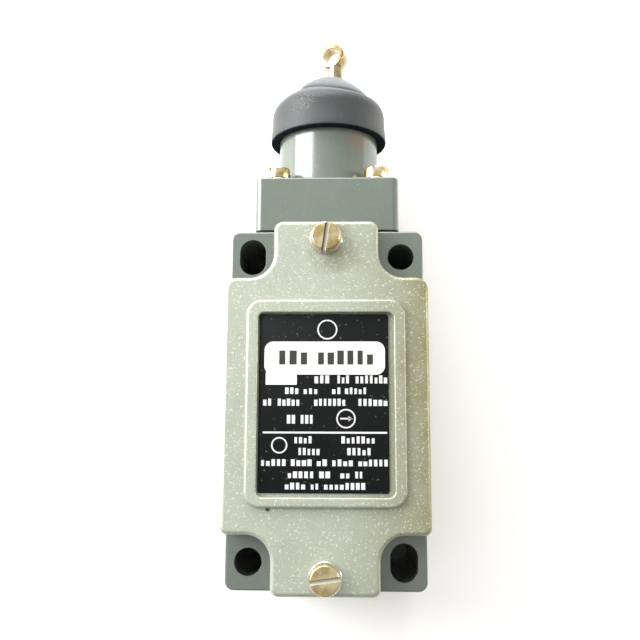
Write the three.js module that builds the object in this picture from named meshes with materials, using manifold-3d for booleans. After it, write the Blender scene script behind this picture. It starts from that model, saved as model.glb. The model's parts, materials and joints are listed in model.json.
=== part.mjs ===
// A metal-cased limit switch with a sprung pull rod, built as it comes apart on a bench.
// Millimetres. The switch lies on its flat mounting face: +Z leaves that face and runs out
// through the cover, +Y runs towards the actuator head, +X to the right.
// The origin is the middle of the 30 x 60 fixing pattern, on the mounting face.
import * as THREE from "three";
import { mergeVertices } from "three/addons/utils/BufferGeometryUtils.js";
import Module from "manifold-3d";

const wasm = await Module();
wasm.setup();

// ---------------------------------------------------------------- driving dimensions

const clearance = 0.3; // between a moving piece and its guide
const seat = 0.1; // between two pieces screwed together
const arcSteps = 3; // straight steps in each arc of an outline
const cutPast = 1; // how far a cutter runs past the face that it opens

// Fixing pattern
const pitchX = 30;
const pitchY = 60;
const fixingHoleRadius = 2.65;
const fixingSlotLength = 7.3;

// Housing
const housingWidth = 39;
const housingTop = 35;
const housingBottom = -35.4;
const earDepth = 31.5; // the four ears' faces above the mounting face
const landHeight = 0.3; // how far the land under the cover stands above the ears
const landMargin = 0.15; // the land shows this far round the cover
const housingDepth = earDepth + landHeight;
const housingCornerRadius = 1.8;
const baseWall = 3;
const sideWall = 3.3;
const topLand = 13;
const bottomLand = 13.9;
const passageHalfWidth = 9.4;
const endWall = 6;
const bottomEndWall = 8.4;
const passageRoof = 4.8;
const padHalfWidth = 15.9;
const padHeight = 0.4;
const padBottomZ = 0.6;
const padTopZ = 31;
const cableEntryRadius = 9.2;

// Cover
const coverOverhang = 0.5; // how far the cover stands out past the housing's sides
const coverHalfWidth = housingWidth / 2 + coverOverhang;
const coverUpperShoulder = 24.9;
const coverLowerShoulder = -24.5;
const tabHalfWidth = 10.35;
const tabTop = 36.3;
const tabBottom = -35.7;
const earArcRadius = 4.8;
const coverHeight = 4.7;
const coverEdgeRadius = 0.9;
const coverWall = 2.6;
const coverSkin = 1.9;
const frameHalfWidth = 15.45;
const frameTop = 20.3;
const frameBottom = -19.5;
const frameHeight = 1;
const recessHalfWidth = 13.1;
const recessTop = 17.65;
const recessBottom = -17.45;
const recessDepth = 0.2; // below the cover's face
const gasketThickness = 0.6;
const gasketInset = 1;
const labelLeft = -12.9;
const labelRight = 12.1;
const labelTop = 17.45;
const labelBottom = -16.75;
const labelThickness = 0.4;

// Screws: head radius, head height, shank radius
const coverScrew = { headRadius: 2.85, headHeight: 2.2, shankRadius: 1.7, slotWidth: 0.9, slotDepth: 0.9 };
const headScrew = { headRadius: 2.6, headHeight: 2.4, shankRadius: 1.45, slotWidth: 0.8, slotDepth: 1 };
const terminalScrew = { headRadius: 2.5, headHeight: 2, shankRadius: 1.5, slotWidth: 0.8, slotDepth: 0.9 };
const blockScrew = { headRadius: 1.9, headHeight: 1.6, shankRadius: 1.2, slotWidth: 0.6, slotDepth: 0.7 };
const screwUpperY = 32.6;
const screwLowerY = -32.3;
const coverScrewLength = 9.4;
const coverWasherRadius = 3.2;
const coverWasherThickness = 0.5;
const headScrewLength = 17.5;
const springWasherThickness = 0.8;

// Actuator head
const axisZ = 16; // the rod's axis above the mounting face
const blockWidth = 29.6;
const blockDepth = 30;
const blockHeight = 11.3;
const blockCornerRadius = 1.5;
const headGasketThickness = 0.5;
const cylinderRadius = 11;
const headScrewStandOff = 1.108; // between the cylinder and a head screw
const headScrewSpacing = Math.SQRT2 * (cylinderRadius + headScrew.headRadius + headScrewStandOff);
const cylinderHeight = 15.8;
const headBore = 8;
const topWall = 2.6;
const guideFlangeThickness = 1.5;
const guideNeckRadius = 3.9;

// Rubber cap
const capWall = 1.5;
const capSlack = 0.25; // the skirt hangs a little loose round the cylinder
const capRimWidth = 0.3; // how far the rim stands out past the skirt
const capRadius = cylinderRadius + capWall + capSlack;
const capRimRadius = capRadius + capRimWidth;
const capRimY = 59.6;
const capTopY = 75.7;
const crownRadius = 8.2;
const crownShift = 1.2; // the crown follows the leaning rod to the right
const crownDip = 0.14; // and dips there, per millimetre across
const crownLeanStart = 68;
const crownLeanEnd = 71.5;

// Pull rod, its slider and the rocker
const stroke = 3.5;
const rodRadius = 1.75;
const rodLean = THREE.MathUtils.degToRad(2.6);
const rodNutHeight = 2.2;
const sliderDiscY = 43.2;
const sliderDiscHeight = 2.4;
const eyeY = 81;
const eyeRadius = 3;
const eyeHoleRadius = 1.88;
const eyeThickness = 3.5;
const eyeOffset = -0.7;
const eyeTurn = THREE.MathUtils.degToRad(-20);
const rockerPinY = 37.6;
const rockerPinOffset = 1.8; // the pin stands in front of the rod's axis
const rockerPinRadius = 0.8;
const armReach = 2.95;
const armHalfThickness = 0.7;
const toeRadius = 0.65;
const stemRadius = 1.2;
const contactPlay = 0.2;

// Contact block
const blockHalfX = 14;
const blockBottomY = -12;
const blockTopY = 21.7;
const blockBackZ = 4;
const blockFrontZ = 21.2;
const chamberHalfX = 9;
const carrierHalfX = 3;
const carrierHalfZ = 2.75;
const bridgeHalfX = 8.4;
const bridgeHalfZ = 1.6;
const bridgeThickness = 0.6;
const closedBridgeY = 13.25;
const openBridgeY = 3;
const stripThickness = 0.8;
const stripInnerX = 5.5;
const stripOuterX = 12;
const footLength = 7.6;
const bossScrewX = 11.9;
const bossScrewY = 6;
const earthX = -11;
const earthY = -17.2;

// Springs: mean coil radius, wire radius, turns
const returnSpring = { coil: 4.7, wire: 0.5, turns: 6 };
const contactSpring = { coil: 1, wire: 0.22, turns: 4 };
const carrierSpring = { coil: 2, wire: 0.28, turns: 6 };

// ---------------------------------------------------------------- places that follow

const frontZ = housingDepth;
const coverBackZ = frontZ + seat;
const coverFaceZ = frontZ + coverHeight;
const cavityHalfX = housingWidth / 2 - sideWall;
const cavityTop = housingTop - topLand;
const cavityBottom = housingBottom + bottomLand;
const passageTop = housingTop - endWall;
const passageBottom = housingBottom + bottomEndWall;
const padTop = housingTop + padHeight;
const blockBaseY = padTop + headGasketThickness;
const blockFaceY = blockBaseY + blockHeight;
const cylinderTop = blockFaceY + cylinderHeight;
const boreTop = cylinderTop - topWall;
const sliderRadius = headBore - clearance;
const rockerPinZ = axisZ + rockerPinOffset;
const stemZ = rockerPinZ - armReach;
const toeZ = rockerPinZ + armReach;
const rockerSwing = Math.atan(stroke / 2 / armReach);
// At rest the rocker leans by its swing, and the toe and the stem's dome lie a little under it.
const toeRestY =
  rockerPinY - stroke / 2 - (toeRadius + armHalfThickness + contactPlay) / Math.cos(rockerSwing);
const stemRestY =
  rockerPinY + stroke / 2 - (stemRadius + armHalfThickness + contactPlay) / Math.cos(rockerSwing);

// ---------------------------------------------------------------- solids

function solid(geometry) {
  const bare = new THREE.BufferGeometry();
  bare.setAttribute("position", geometry.getAttribute("position").clone());
  if (geometry.index) bare.setIndex(geometry.index.clone());
  const merged = mergeVertices(bare, 1e-4);
  return new wasm.Manifold(
    new wasm.Mesh({
      numProp: 3,
      vertProperties: new Float32Array(merged.attributes.position.array),
      triVerts: new Uint32Array(merged.index.array),
    }),
  );
}

function geometryOf(shape) {
  const mesh = shape.getMesh();
  const geometry = new THREE.BufferGeometry();
  geometry.setAttribute("position", new THREE.BufferAttribute(mesh.vertProperties, 3));
  geometry.setIndex(new THREE.BufferAttribute(mesh.triVerts, 1));
  const faceted = geometry.toNonIndexed();
  faceted.computeVertexNormals();
  return faceted;
}

const joined = (...shapes) => shapes.reduce((whole, shape) => whole.add(shape));
const cut = (shape, ...cutters) => cutters.reduce((rest, cutter) => rest.subtract(cutter), shape);

// A box from its low and high places along each axis.
function block([x0, x1], [y0, y1], [z0, z1]) {
  const geometry = new THREE.BoxGeometry(x1 - x0, y1 - y0, z1 - z0);
  return solid(geometry.translate((x0 + x1) / 2, (y0 + y1) / 2, (z0 + z1) / 2));
}

const across = (half) => [-half, half];

function cylinderY(radius, [y0, y1], { x = 0, z = 0, sides = 32 } = {}) {
  const geometry = new THREE.CylinderGeometry(radius, radius, y1 - y0, sides);
  return solid(geometry.translate(x, (y0 + y1) / 2, z));
}

function cylinderZ(radius, [z0, z1], { x = 0, y = 0, sides = 24 } = {}) {
  const geometry = new THREE.CylinderGeometry(radius, radius, z1 - z0, sides);
  return solid(geometry.rotateX(Math.PI / 2).translate(x, y, (z0 + z1) / 2));
}

function cylinderX(radius, [x0, x1], { y = 0, z = 0, sides = 16 } = {}) {
  const geometry = new THREE.CylinderGeometry(radius, radius, x1 - x0, sides);
  return solid(geometry.rotateZ(Math.PI / 2).translate((x0 + x1) / 2, y, z));
}

// An outline whose corners are [x, y, radius], rounded by arcs that turn either way.
function outline(corners) {
  const shape = new THREE.Shape();
  corners.forEach(([x, y, radius], i) => {
    const corner = new THREE.Vector2(x, y);
    const before = corners.at(i - 1);
    const after = corners[(i + 1) % corners.length];
    const inward = new THREE.Vector2(x - before[0], y - before[1]).normalize();
    const onward = new THREE.Vector2(after[0] - x, after[1] - y).normalize();
    const turn = Math.atan2(inward.cross(onward), inward.dot(onward));
    const reach = radius * Math.tan(Math.abs(turn) / 2);
    const start = corner.clone().addScaledVector(inward, -reach);
    const side = Math.sign(turn);
    const centre = start.clone().add(new THREE.Vector2(-inward.y, inward.x).multiplyScalar(side * radius));
    const from = Math.atan2(start.y - centre.y, start.x - centre.x);
    if (i === 0) shape.moveTo(start.x, start.y);
    else shape.lineTo(start.x, start.y);
    shape.absarc(centre.x, centre.y, radius, from, from + turn, turn < 0);
  });
  shape.closePath();
  return shape;
}

const rectangle = ([x0, x1], [y0, y1], radius) =>
  outline([
    [x0, y0, radius],
    [x1, y0, radius],
    [x1, y1, radius],
    [x0, y1, radius],
  ]);

function disc(radius) {
  const shape = new THREE.Shape();
  for (let quarter = 0; quarter < 4; quarter++) {
    shape.absarc(0, 0, radius, (quarter * Math.PI) / 2, ((quarter + 1) * Math.PI) / 2);
  }
  return shape;
}

// A flat plate from z0 to z1. A bevel rounds the edge at z1 only.
function plate(shape, [z0, z1], bevel = 0) {
  if (!bevel) {
    const geometry = new THREE.ExtrudeGeometry(shape, {
      depth: z1 - z0,
      bevelEnabled: false,
      curveSegments: arcSteps,
    });
    return solid(geometry.translate(0, 0, z0));
  }
  const below = 2 * bevel;
  const geometry = new THREE.ExtrudeGeometry(shape, {
    depth: z1 - z0 + below - 2 * bevel,
    bevelThickness: bevel,
    bevelSize: bevel,
    bevelOffset: -bevel,
    bevelSegments: 2,
    curveSegments: arcSteps,
  });
  const whole = solid(geometry.translate(0, 0, z0 - below + bevel));
  return whole.intersect(block(across(100), across(100), [z0, z1 + cutPast]));
}

// The same plate standing along Y, on the middle height z: its outline's y runs down Z.
function plateY(shape, [y0, y1], z, bevel = 0) {
  const standing = geometryOf(plate(shape, [0, y1 - y0], bevel));
  return solid(standing.rotateX(-Math.PI / 2).translate(0, y0, z));
}

// A turned piece about the Y axis from [radius, y] points that close on themselves.
function turned(points, { z = 0, sides = 40 } = {}) {
  const profile = points.map(([radius, y]) => new THREE.Vector2(radius, y));
  profile.push(profile[0].clone());
  return solid(new THREE.LatheGeometry(profile, sides).translate(0, 0, z));
}

class Helix extends THREE.Curve {
  constructor(radius, turns, length) {
    super();
    Object.assign(this, { radius, turns, length });
  }
  getPoint(t) {
    const angle = 2 * Math.PI * this.turns * t;
    return new THREE.Vector3(this.radius * Math.cos(angle), this.length * t, this.radius * Math.sin(angle));
  }
}

// A coil spring along Y that fills [y0, y1] with a named end clearance.
function coilSpring({ coil, wire, turns }, [y0, y1], { x = 0, z = 0 } = {}) {
  const section = new THREE.Shape();
  const sides = 6;
  for (let i = 0; i < sides; i++) {
    const angle = (2 * Math.PI * i) / sides;
    const place = [wire * Math.cos(angle), wire * Math.sin(angle)];
    if (i === 0) section.moveTo(...place);
    else section.lineTo(...place);
  }
  section.closePath();
  const start = y0 + wire + seat;
  const length = y1 - y0 - 2 * (wire + seat);
  const geometry = new THREE.ExtrudeGeometry(section, {
    steps: 12 * turns,
    bevelEnabled: false,
    extrudePath: new Helix(coil, turns, length),
  });
  return solid(geometry.translate(x, start, z));
}

// A slotted cheese-head screw along Z whose head stands on seatZ.
function screwZ(size, x, y, seatZ, length, slotTurn = 0) {
  const top = seatZ + size.headHeight;
  const bevel = 0.25;
  const slot = new THREE.BoxGeometry(3 * size.headRadius, size.slotWidth, 2 * size.slotDepth)
    .rotateZ(slotTurn)
    .translate(0, 0, top);
  const screw = joined(
    plate(disc(size.headRadius), [seatZ, top], bevel),
    cylinderZ(size.shankRadius, [seatZ - length, seatZ + bevel], { sides: 16 }),
  );
  return cut(screw, solid(slot)).translate(x, y, 0);
}

// The same screw along Y, whose head stands on seatY.
function screwY(size, x, seatY, z, length, slotTurn) {
  const screw = geometryOf(screwZ(size, 0, 0, 0, length, slotTurn));
  return solid(screw.rotateX(-Math.PI / 2).translate(x, seatY, z));
}

function washerZ(outer, inner, [z0, z1], x, y) {
  return cut(
    cylinderZ(outer, [z0, z1], { x, y }),
    cylinderZ(inner, [z0 - cutPast, z1 + cutPast], { x, y, sides: 16 }),
  );
}

// ---------------------------------------------------------------- finishes

const finishes = {
  paint: { color: 0x7f8c7d, roughness: 0.5, metalness: 0.1 },
  castZinc: { color: 0xb4b99f, roughness: 0.45, metalness: 0.8 },
  yellowZinc: { color: 0xb9a468, roughness: 0.3, metalness: 0.9 },
  steel: { color: 0xa8a9a6, roughness: 0.35, metalness: 0.9 },
  brass: { color: 0xb89a4e, roughness: 0.35, metalness: 0.9 },
  rubber: { color: 0x4a504e, roughness: 0.75, metalness: 0 },
  label: { color: 0x232326, roughness: 0.5, metalness: 0 },
  moulding: { color: 0x1f2224, roughness: 0.55, metalness: 0 },
  paleMoulding: { color: 0xd8d4c4, roughness: 0.5, metalness: 0 },
  fibre: { color: 0x2e2f2d, roughness: 0.9, metalness: 0 },
};

const limitSwitch = new THREE.Group();

function place(name, finish, shape, parent = limitSwitch) {
  const mesh = new THREE.Mesh(geometryOf(shape), new THREE.MeshStandardMaterial(finishes[finish]));
  mesh.name = name;
  parent.add(mesh);
  return mesh;
}

// ---------------------------------------------------------------- casing

const earHoles = [
  { x: -pitchX / 2, y: pitchY / 2, length: fixingSlotLength },
  { x: pitchX / 2, y: pitchY / 2, length: 2 * fixingHoleRadius },
  { x: -pitchX / 2, y: -pitchY / 2, length: 2 * fixingHoleRadius },
  { x: pitchX / 2, y: -pitchY / 2, length: fixingSlotLength },
];

function earHole({ x, y, length }) {
  const reach = length / 2 - fixingHoleRadius;
  const through = [-cutPast, housingDepth + cutPast];
  if (reach <= 0) return cylinderZ(fixingHoleRadius, through, { x, y });
  const slot = new THREE.Shape();
  slot.absarc(x, y + reach, fixingHoleRadius, 0, Math.PI);
  slot.absarc(x, y - reach, fixingHoleRadius, Math.PI, 2 * Math.PI);
  slot.closePath();
  return plate(slot, through);
}

const headScrewPlaces = [-1, 1].flatMap((sideX) =>
  [-1, 1].map((sideZ) => ({
    x: (sideX * headScrewSpacing) / 2,
    z: axisZ + (sideZ * headScrewSpacing) / 2,
  })),
);
const headScrewSeat = blockFaceY + springWasherThickness;
const headScrewEnd = headScrewSeat - headScrewLength;
const blockScrewPlaces = [
  { x: -bossScrewX, y: bossScrewY },
  { x: bossScrewX, y: bossScrewY },
];
const bossTop = blockBackZ - seat;
const blockBossRadius = 2.6;
const earthBossRadius = 3.2;
const earthBossTop = 8;
const earthScrewDepth = 3.4;
const blockScrewDepth = 1.5;
const threadPlay = 0.15;

function housing() {
  const size = [-housingWidth / 2, housingWidth / 2];
  const outerShape = rectangle(size, [housingBottom, housingTop], housingCornerRadius);
  const land = plate(coverOutline(-landMargin), [earDepth - cutPast, housingDepth]);
  const shell = joined(
    plate(outerShape, [0, earDepth]),
    land.intersect(plate(outerShape, [0, housingDepth])),
    block(across(padHalfWidth), [housingTop - cutPast, padTop], [padBottomZ, padTopZ]),
  );
  const cavity = joined(
    plate(
      rectangle(across(cavityHalfX), [cavityBottom, cavityTop], 2),
      [baseWall, housingDepth + cutPast],
    ),
    block(across(passageHalfWidth), [passageBottom, passageTop], [baseWall, housingDepth - passageRoof]),
  );
  const bosses = joined(
    ...blockScrewPlaces.map(({ x, y }) => cylinderZ(blockBossRadius, [baseWall - seat, bossTop], { x, y })),
    cylinderZ(earthBossRadius, [baseWall - seat, earthBossTop], { x: earthX, y: earthY }),
  );
  const threads = [
    ...headScrewPlaces.map(({ x, z }) =>
      cylinderY(headScrew.shankRadius + threadPlay, [headScrewEnd - clearance, padTop + cutPast], {
        x,
        z,
        sides: 16,
      }),
    ),
    ...[screwUpperY, screwLowerY].map((y) =>
      cylinderZ(
        coverScrew.shankRadius + threadPlay,
        [coverScrewSeat - coverScrewLength - clearance, housingDepth + cutPast],
        { y, sides: 16 },
      ),
    ),
    ...blockScrewPlaces.map(({ x, y }) =>
      cylinderZ(blockScrew.shankRadius + threadPlay, [blockScrewDepth - clearance, bossTop + cutPast], {
        x,
        y,
        sides: 16,
      }),
    ),
    cylinderZ(terminalScrew.shankRadius + threadPlay, [earthScrewDepth - clearance, earthBossTop + cutPast], {
      x: earthX,
      y: earthY,
      sides: 16,
    }),
  ];
  const rodOpening = cylinderY(headBore, [passageTop - cutPast, padTop + cutPast], { z: axisZ });
  const cableEntry = cylinderY(cableEntryRadius, [housingBottom - cutPast, passageBottom + cutPast], {
    z: axisZ,
    sides: 40,
  });
  const hollow = joined(cut(shell, cavity), bosses);
  return cut(hollow, ...earHoles.map(earHole), rodOpening, cableEntry, ...threads);
}

const coverScrewSeat = coverFaceZ + coverWasherThickness;

// The cover is wide between the ears and narrows to a tab at each end, past an arc round each ear.
const coverOutline = (inset = 0) =>
  outline([
    [-tabHalfWidth + inset, tabBottom + inset, 1.6],
    [tabHalfWidth - inset, tabBottom + inset, 1.6],
    [tabHalfWidth - inset, coverLowerShoulder + inset, earArcRadius + inset],
    [coverHalfWidth - inset, coverLowerShoulder + inset, 1.4],
    [coverHalfWidth - inset, coverUpperShoulder - inset, 2.4],
    [tabHalfWidth - inset, coverUpperShoulder - inset, earArcRadius + inset],
    [tabHalfWidth - inset, tabTop - inset, 1.8],
    [-tabHalfWidth + inset, tabTop - inset, 1.8],
    [-tabHalfWidth + inset, coverUpperShoulder - inset, earArcRadius + inset],
    [-coverHalfWidth + inset, coverUpperShoulder - inset, 2.4],
    [-coverHalfWidth + inset, coverLowerShoulder + inset, 1.4],
    [-tabHalfWidth + inset, coverLowerShoulder + inset, earArcRadius + inset],
  ]);

const screwThrough = (radius, z) =>
  [screwUpperY, screwLowerY].map((y) => cylinderZ(radius, z, { y, sides: 20 }));

function cover() {
  const frameTopZ = coverFaceZ + frameHeight;
  const floorZ = coverFaceZ - recessDepth;
  const shell = joined(
    plate(coverOutline(), [coverBackZ, coverFaceZ], coverEdgeRadius),
    plate(
      rectangle(across(frameHalfWidth), [frameBottom, frameTop], 3),
      [coverFaceZ - coverSkin / 2, frameTopZ],
      0.3,
    ),
  );
  return cut(
    shell,
    plate(
      rectangle(across(recessHalfWidth), [recessBottom, recessTop], 1),
      [floorZ, frameTopZ + cutPast],
    ),
    plate(
      rectangle(
        across(coverHalfWidth - coverWall),
        [coverLowerShoulder + coverWall, coverUpperShoulder - coverWall],
        2,
      ),
      [coverBackZ - cutPast, coverFaceZ - recessDepth - coverSkin],
    ),
    plate(coverOutline(gasketInset), [coverBackZ - cutPast, frontZ + gasketThickness + seat]),
    ...screwThrough(coverScrew.shankRadius + clearance, [coverBackZ - cutPast, frameTopZ]),
  );
}

function coverGasket() {
  return cut(
    plate(coverOutline(gasketInset + clearance), [frontZ, frontZ + gasketThickness]),
    plate(rectangle(across(cavityHalfX), [cavityBottom, cavityTop], 2), [frontZ - 1, frontZ + 2]),
    ...screwThrough(coverScrew.shankRadius + clearance, [frontZ - cutPast, frontZ + 2]),
  );
}

const labelBackZ = coverFaceZ - recessDepth;

place("housing", "paint", housing());
place("cover_gasket", "rubber", coverGasket());
place("cover", "castZinc", cover());
place(
  "label_plate",
  "label",
  plate(
    rectangle([labelLeft, labelRight], [labelBottom, labelTop], 0.3),
    [labelBackZ, labelBackZ + labelThickness],
  ),
);
[
  { name: "upper", y: screwUpperY, turn: THREE.MathUtils.degToRad(82) },
  { name: "lower", y: screwLowerY, turn: THREE.MathUtils.degToRad(8) },
].forEach(({ name, y, turn }) => {
  const washerZs = [coverFaceZ, coverScrewSeat];
  const screw = screwZ(coverScrew, 0, y, coverScrewSeat, coverScrewLength, turn);
  place("cover_screw_" + name, "yellowZinc", screw);
  place(
    "cover_washer_" + name,
    "yellowZinc",
    washerZ(coverWasherRadius, coverScrew.shankRadius + clearance, washerZs, 0, y),
  );
});

// ---------------------------------------------------------------- actuator head

const leanAt = (y) => Math.tan(rodLean) * (y - sliderDiscY);
const guideBore = rodRadius + leanAt(cylinderTop) + clearance;
const rockerPinHalfLength = 10;

function headHousing() {
  const outer = joined(
    plateY(
      rectangle(across(blockWidth / 2), across(blockDepth / 2), blockCornerRadius),
      [blockBaseY, blockFaceY],
      axisZ,
      0.4,
    ),
    turned(
      [
        [0, blockFaceY - cutPast],
        [cylinderRadius, blockFaceY - cutPast],
        [cylinderRadius, cylinderTop - 1],
        [cylinderRadius - 1, cylinderTop],
        [0, cylinderTop],
      ],
      { z: axisZ, sides: 48 },
    ),
  );
  return cut(
    outer,
    cylinderY(headBore, [blockBaseY - cutPast, boreTop], { z: axisZ, sides: 40 }),
    cylinderY(guideNeckRadius + seat, [boreTop - cutPast, cylinderTop + cutPast], { z: axisZ }),
    cylinderX(rockerPinRadius + seat, across(rockerPinHalfLength + clearance), {
      y: rockerPinY,
      z: rockerPinZ,
    }),
    ...headScrewPlaces.map(({ x, z }) =>
      cylinderY(headScrew.shankRadius + threadPlay, [blockBaseY - cutPast, blockFaceY + cutPast], {
        x,
        z,
        sides: 16,
      }),
    ),
  );
}

function headGasket() {
  const inset = 0.8;
  const half = [blockWidth / 2 - inset, blockDepth / 2 - inset];
  return cut(
    plateY(rectangle(across(half[0]), across(half[1]), blockCornerRadius), [padTop, blockBaseY], axisZ),
    cylinderY(headBore + clearance, [padTop - cutPast, blockBaseY + cutPast], { z: axisZ }),
    ...headScrewPlaces.map(({ x, z }) =>
      cylinderY(headScrew.shankRadius + threadPlay, [padTop - cutPast, blockBaseY + cutPast], {
        x,
        z,
        sides: 16,
      }),
    ),
  );
}

// A split spring washer: its gap faces away from the cylinder.
function headSpringWasher({ x, z }) {
  const y = [blockFaceY, headScrewSeat];
  const gap = [x, x + Math.sign(x) * 2 * headScrew.headRadius].sort((a, b) => a - b);
  return cut(
    cylinderY(headScrew.headRadius, y, { x, z, sides: 24 }),
    cylinderY(headScrew.shankRadius + threadPlay, [y[0] - cutPast, y[1] + cutPast], { x, z, sides: 16 }),
    block(gap, [y[0] - cutPast, y[1] + cutPast], [z - 0.25, z + 0.25]),
  );
}

// The rubber cap: a skirt that hugs the cylinder, a shoulder, a groove and a domed crown.
// Its section runs up the outside from the rim and back down the inside.
function rubberCap() {
  const inner = cylinderRadius + seat;
  const outside = [
    [inner, capRimY],
    [capRimRadius - 0.4, capRimY + 0.3],
    [capRimRadius, capRimY + 0.8],
    [capRimRadius, capRimY + 1.5],
    [capRadius, capRimY + 2.1],
    [capRadius, 66.2],
    [capRadius - 0.35, 67.2],
    [capRadius - 1.2, 68.5],
    [crownRadius + 1.6, 69.9],
    [crownRadius + 0.4, 70.8],
    [crownRadius, 71.2],
    [crownRadius - 0.5, 72],
    [crownRadius - 1.9, 73.4],
    [crownRadius - 3.9, 74.6],
    [2, 75.4],
    [0, capTopY],
  ];
  const inside = [
    [0, capTopY - capWall],
    [2, 75.4 - capWall],
    [crownRadius - 4.4, 74.6 - capWall],
    [crownRadius - 2.6, 73.4 - capWall],
    [crownRadius - 1.5, 72 - capWall],
    [crownRadius - 1, 70.8 - capWall],
    [capRadius - 2.4, 68.5 - capWall],
    [inner, 66.2 - capWall],
  ];
  const shape = turned([...outside, ...inside], { z: axisZ, sides: 36 });
  const holeRadius = rodRadius + clearance;
  const holeLength = 8 * capWall;
  const rodHole = new THREE.CylinderGeometry(holeRadius, holeRadius, holeLength, 24)
    .rotateZ(-rodLean)
    .translate(leanAt(capTopY), capTopY, axisZ);
  return cut(crownLeaned(shape), solid(rodHole));
}

// Above the shoulder, the rubber follows the leaning rod.
function crownLeaned(shape) {
  const geometry = geometryOf(shape);
  const points = geometry.getAttribute("position");
  for (let i = 0; i < points.count; i++) {
    const [x, y] = [points.getX(i), points.getY(i)];
    const share = THREE.MathUtils.smoothstep(y, crownLeanStart, crownLeanEnd);
    points.setXY(i, x + share * crownShift, y - share * crownDip * x);
  }
  return solid(geometry);
}

function guideBush() {
  const flangeY = boreTop - seat;
  return turned(
    [
      [guideBore, flangeY - guideFlangeThickness],
      [headBore - clearance, flangeY - guideFlangeThickness],
      [headBore - clearance, flangeY],
      [guideNeckRadius, flangeY],
      [guideNeckRadius, cylinderTop],
      [guideBore, cylinderTop],
    ],
    { z: axisZ, sides: 32 },
  );
}

place("head_gasket", "fibre", headGasket());
place("head_housing", "paint", headHousing());
headScrewPlaces.forEach(({ x, z }, i) => {
  const turn = [0.2, 0.9, -0.5, 1.3][i];
  place("head_screw_" + (i + 1), "yellowZinc", screwY(headScrew, x, headScrewSeat, z, headScrewLength, turn));
  place("head_spring_washer_" + (i + 1), "steel", headSpringWasher({ x, z }));
});
place("guide_bush", "brass", guideBush());
place("rubber_cap", "rubber", rubberCap());
place(
  "rocker_pin",
  "steel",
  cylinderX(rockerPinRadius, across(rockerPinHalfLength), { y: rockerPinY, z: rockerPinZ }),
);

// ---------------------------------------------------------------- pull rod and rocker

const leg = { halfWidth: 2.3, inner: rockerPinZ + 4.35 };
const sliderTopY = sliderDiscY + sliderDiscHeight;

// The slider runs in the head's bore. Its leg hangs past the rocker and ends in a toe under it.
function slider() {
  const legOuter = Math.sqrt(sliderRadius ** 2 - leg.halfWidth ** 2) + axisZ;
  const disc = cylinderY(sliderRadius, [sliderDiscY, sliderTopY], { z: axisZ });
  const hanging = block(
    across(leg.halfWidth),
    [toeRestY - toeRadius, sliderDiscY + seat],
    [leg.inner, legOuter],
  );
  const toe = joined(
    cylinderX(toeRadius, across(leg.halfWidth), { y: toeRestY, z: toeZ }),
    block(
      across(leg.halfWidth),
      [toeRestY - toeRadius, toeRestY + toeRadius],
      [toeZ, leg.inner + seat],
    ),
  );
  const bore = cylinderY(rodRadius + clearance, [sliderDiscY - cutPast, sliderTopY + cutPast], {
    z: axisZ,
    sides: 24,
  });
  return cut(joined(disc, hanging, toe), bore);
}

// The rod leans a little in its loose guide. Its group stands on the slider's disc.
const rodGroup = new THREE.Group();
rodGroup.position.set(0, sliderDiscY, axisZ);
rodGroup.rotation.z = -rodLean;
limitSwitch.add(rodGroup);

const rodCollar = { width: 1.2, thickness: 1 };
const rodThreadRadius = rodRadius - 0.3;
const rodThreadEnd = -rodNutHeight - 0.3;
const rodNutRadius = 3;

function pullRod() {
  const eyeCentre = (eyeY - sliderDiscY) / Math.cos(rodLean);
  const half = eyeThickness / 2;
  const collarY = sliderDiscHeight + clearance;
  const shank = joined(
    cylinderY(rodRadius, [collarY, eyeCentre - eyeHoleRadius - 0.4], { sides: 24 }),
    cylinderY(rodThreadRadius, [rodThreadEnd, collarY + seat], { sides: 20 }),
    cylinderY(rodRadius + rodCollar.width, [collarY, collarY + rodCollar.thickness], { sides: 24 }),
  );
  const eye = plate(disc(eyeRadius), across(half)).translate(eyeOffset, eyeCentre, 0);
  const eyeHole = plate(disc(eyeHoleRadius), across(half + cutPast)).translate(eyeOffset, eyeCentre, 0);
  const rod = geometryOf(cut(joined(shank, eye), eyeHole));
  return solid(rod.rotateY(eyeTurn));
}

function rodNut() {
  const hexagon = new THREE.CylinderGeometry(rodNutRadius, rodNutRadius, rodNutHeight, 6);
  const nut = solid(hexagon.translate(0, -clearance - rodNutHeight / 2, 0));
  return cut(nut, cylinderY(rodThreadRadius + threadPlay, across(2 * rodNutHeight), { sides: 20 }));
}

// The rocker turns the rod's pull into a push on the contact stem.
const rockerHalfWidth = 2.1;
const rockerHub = { radius: 1.35, halfWidth: rockerHalfWidth + 1.2 };
const rockerTip = armReach + 0.35;

function rocker() {
  const bar = joined(
    block(across(rockerHalfWidth), across(armHalfThickness), across(rockerTip)),
    ...across(rockerTip).map((z) => cylinderX(armHalfThickness, across(rockerHalfWidth), { z })),
    cylinderX(rockerHub.radius, across(rockerHub.halfWidth), {}),
  );
  const bore = cylinderX(rockerPinRadius + threadPlay, across(rockerHub.halfWidth + cutPast), {});
  return cut(bar, bore);
}

place("slider", "steel", slider());
place("pull_rod", "yellowZinc", pullRod(), rodGroup);
place("rod_nut", "steel", rodNut(), rodGroup);
const rockerMesh = place("rocker", "steel", rocker());
rockerMesh.position.set(0, rockerPinY, rockerPinZ);
rockerMesh.rotation.x = rockerSwing;
place(
  "return_spring",
  "steel",
  coilSpring(returnSpring, [sliderTopY, boreTop - seat - guideFlangeThickness], { z: axisZ }),
);

// ---------------------------------------------------------------- contact block

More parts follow.
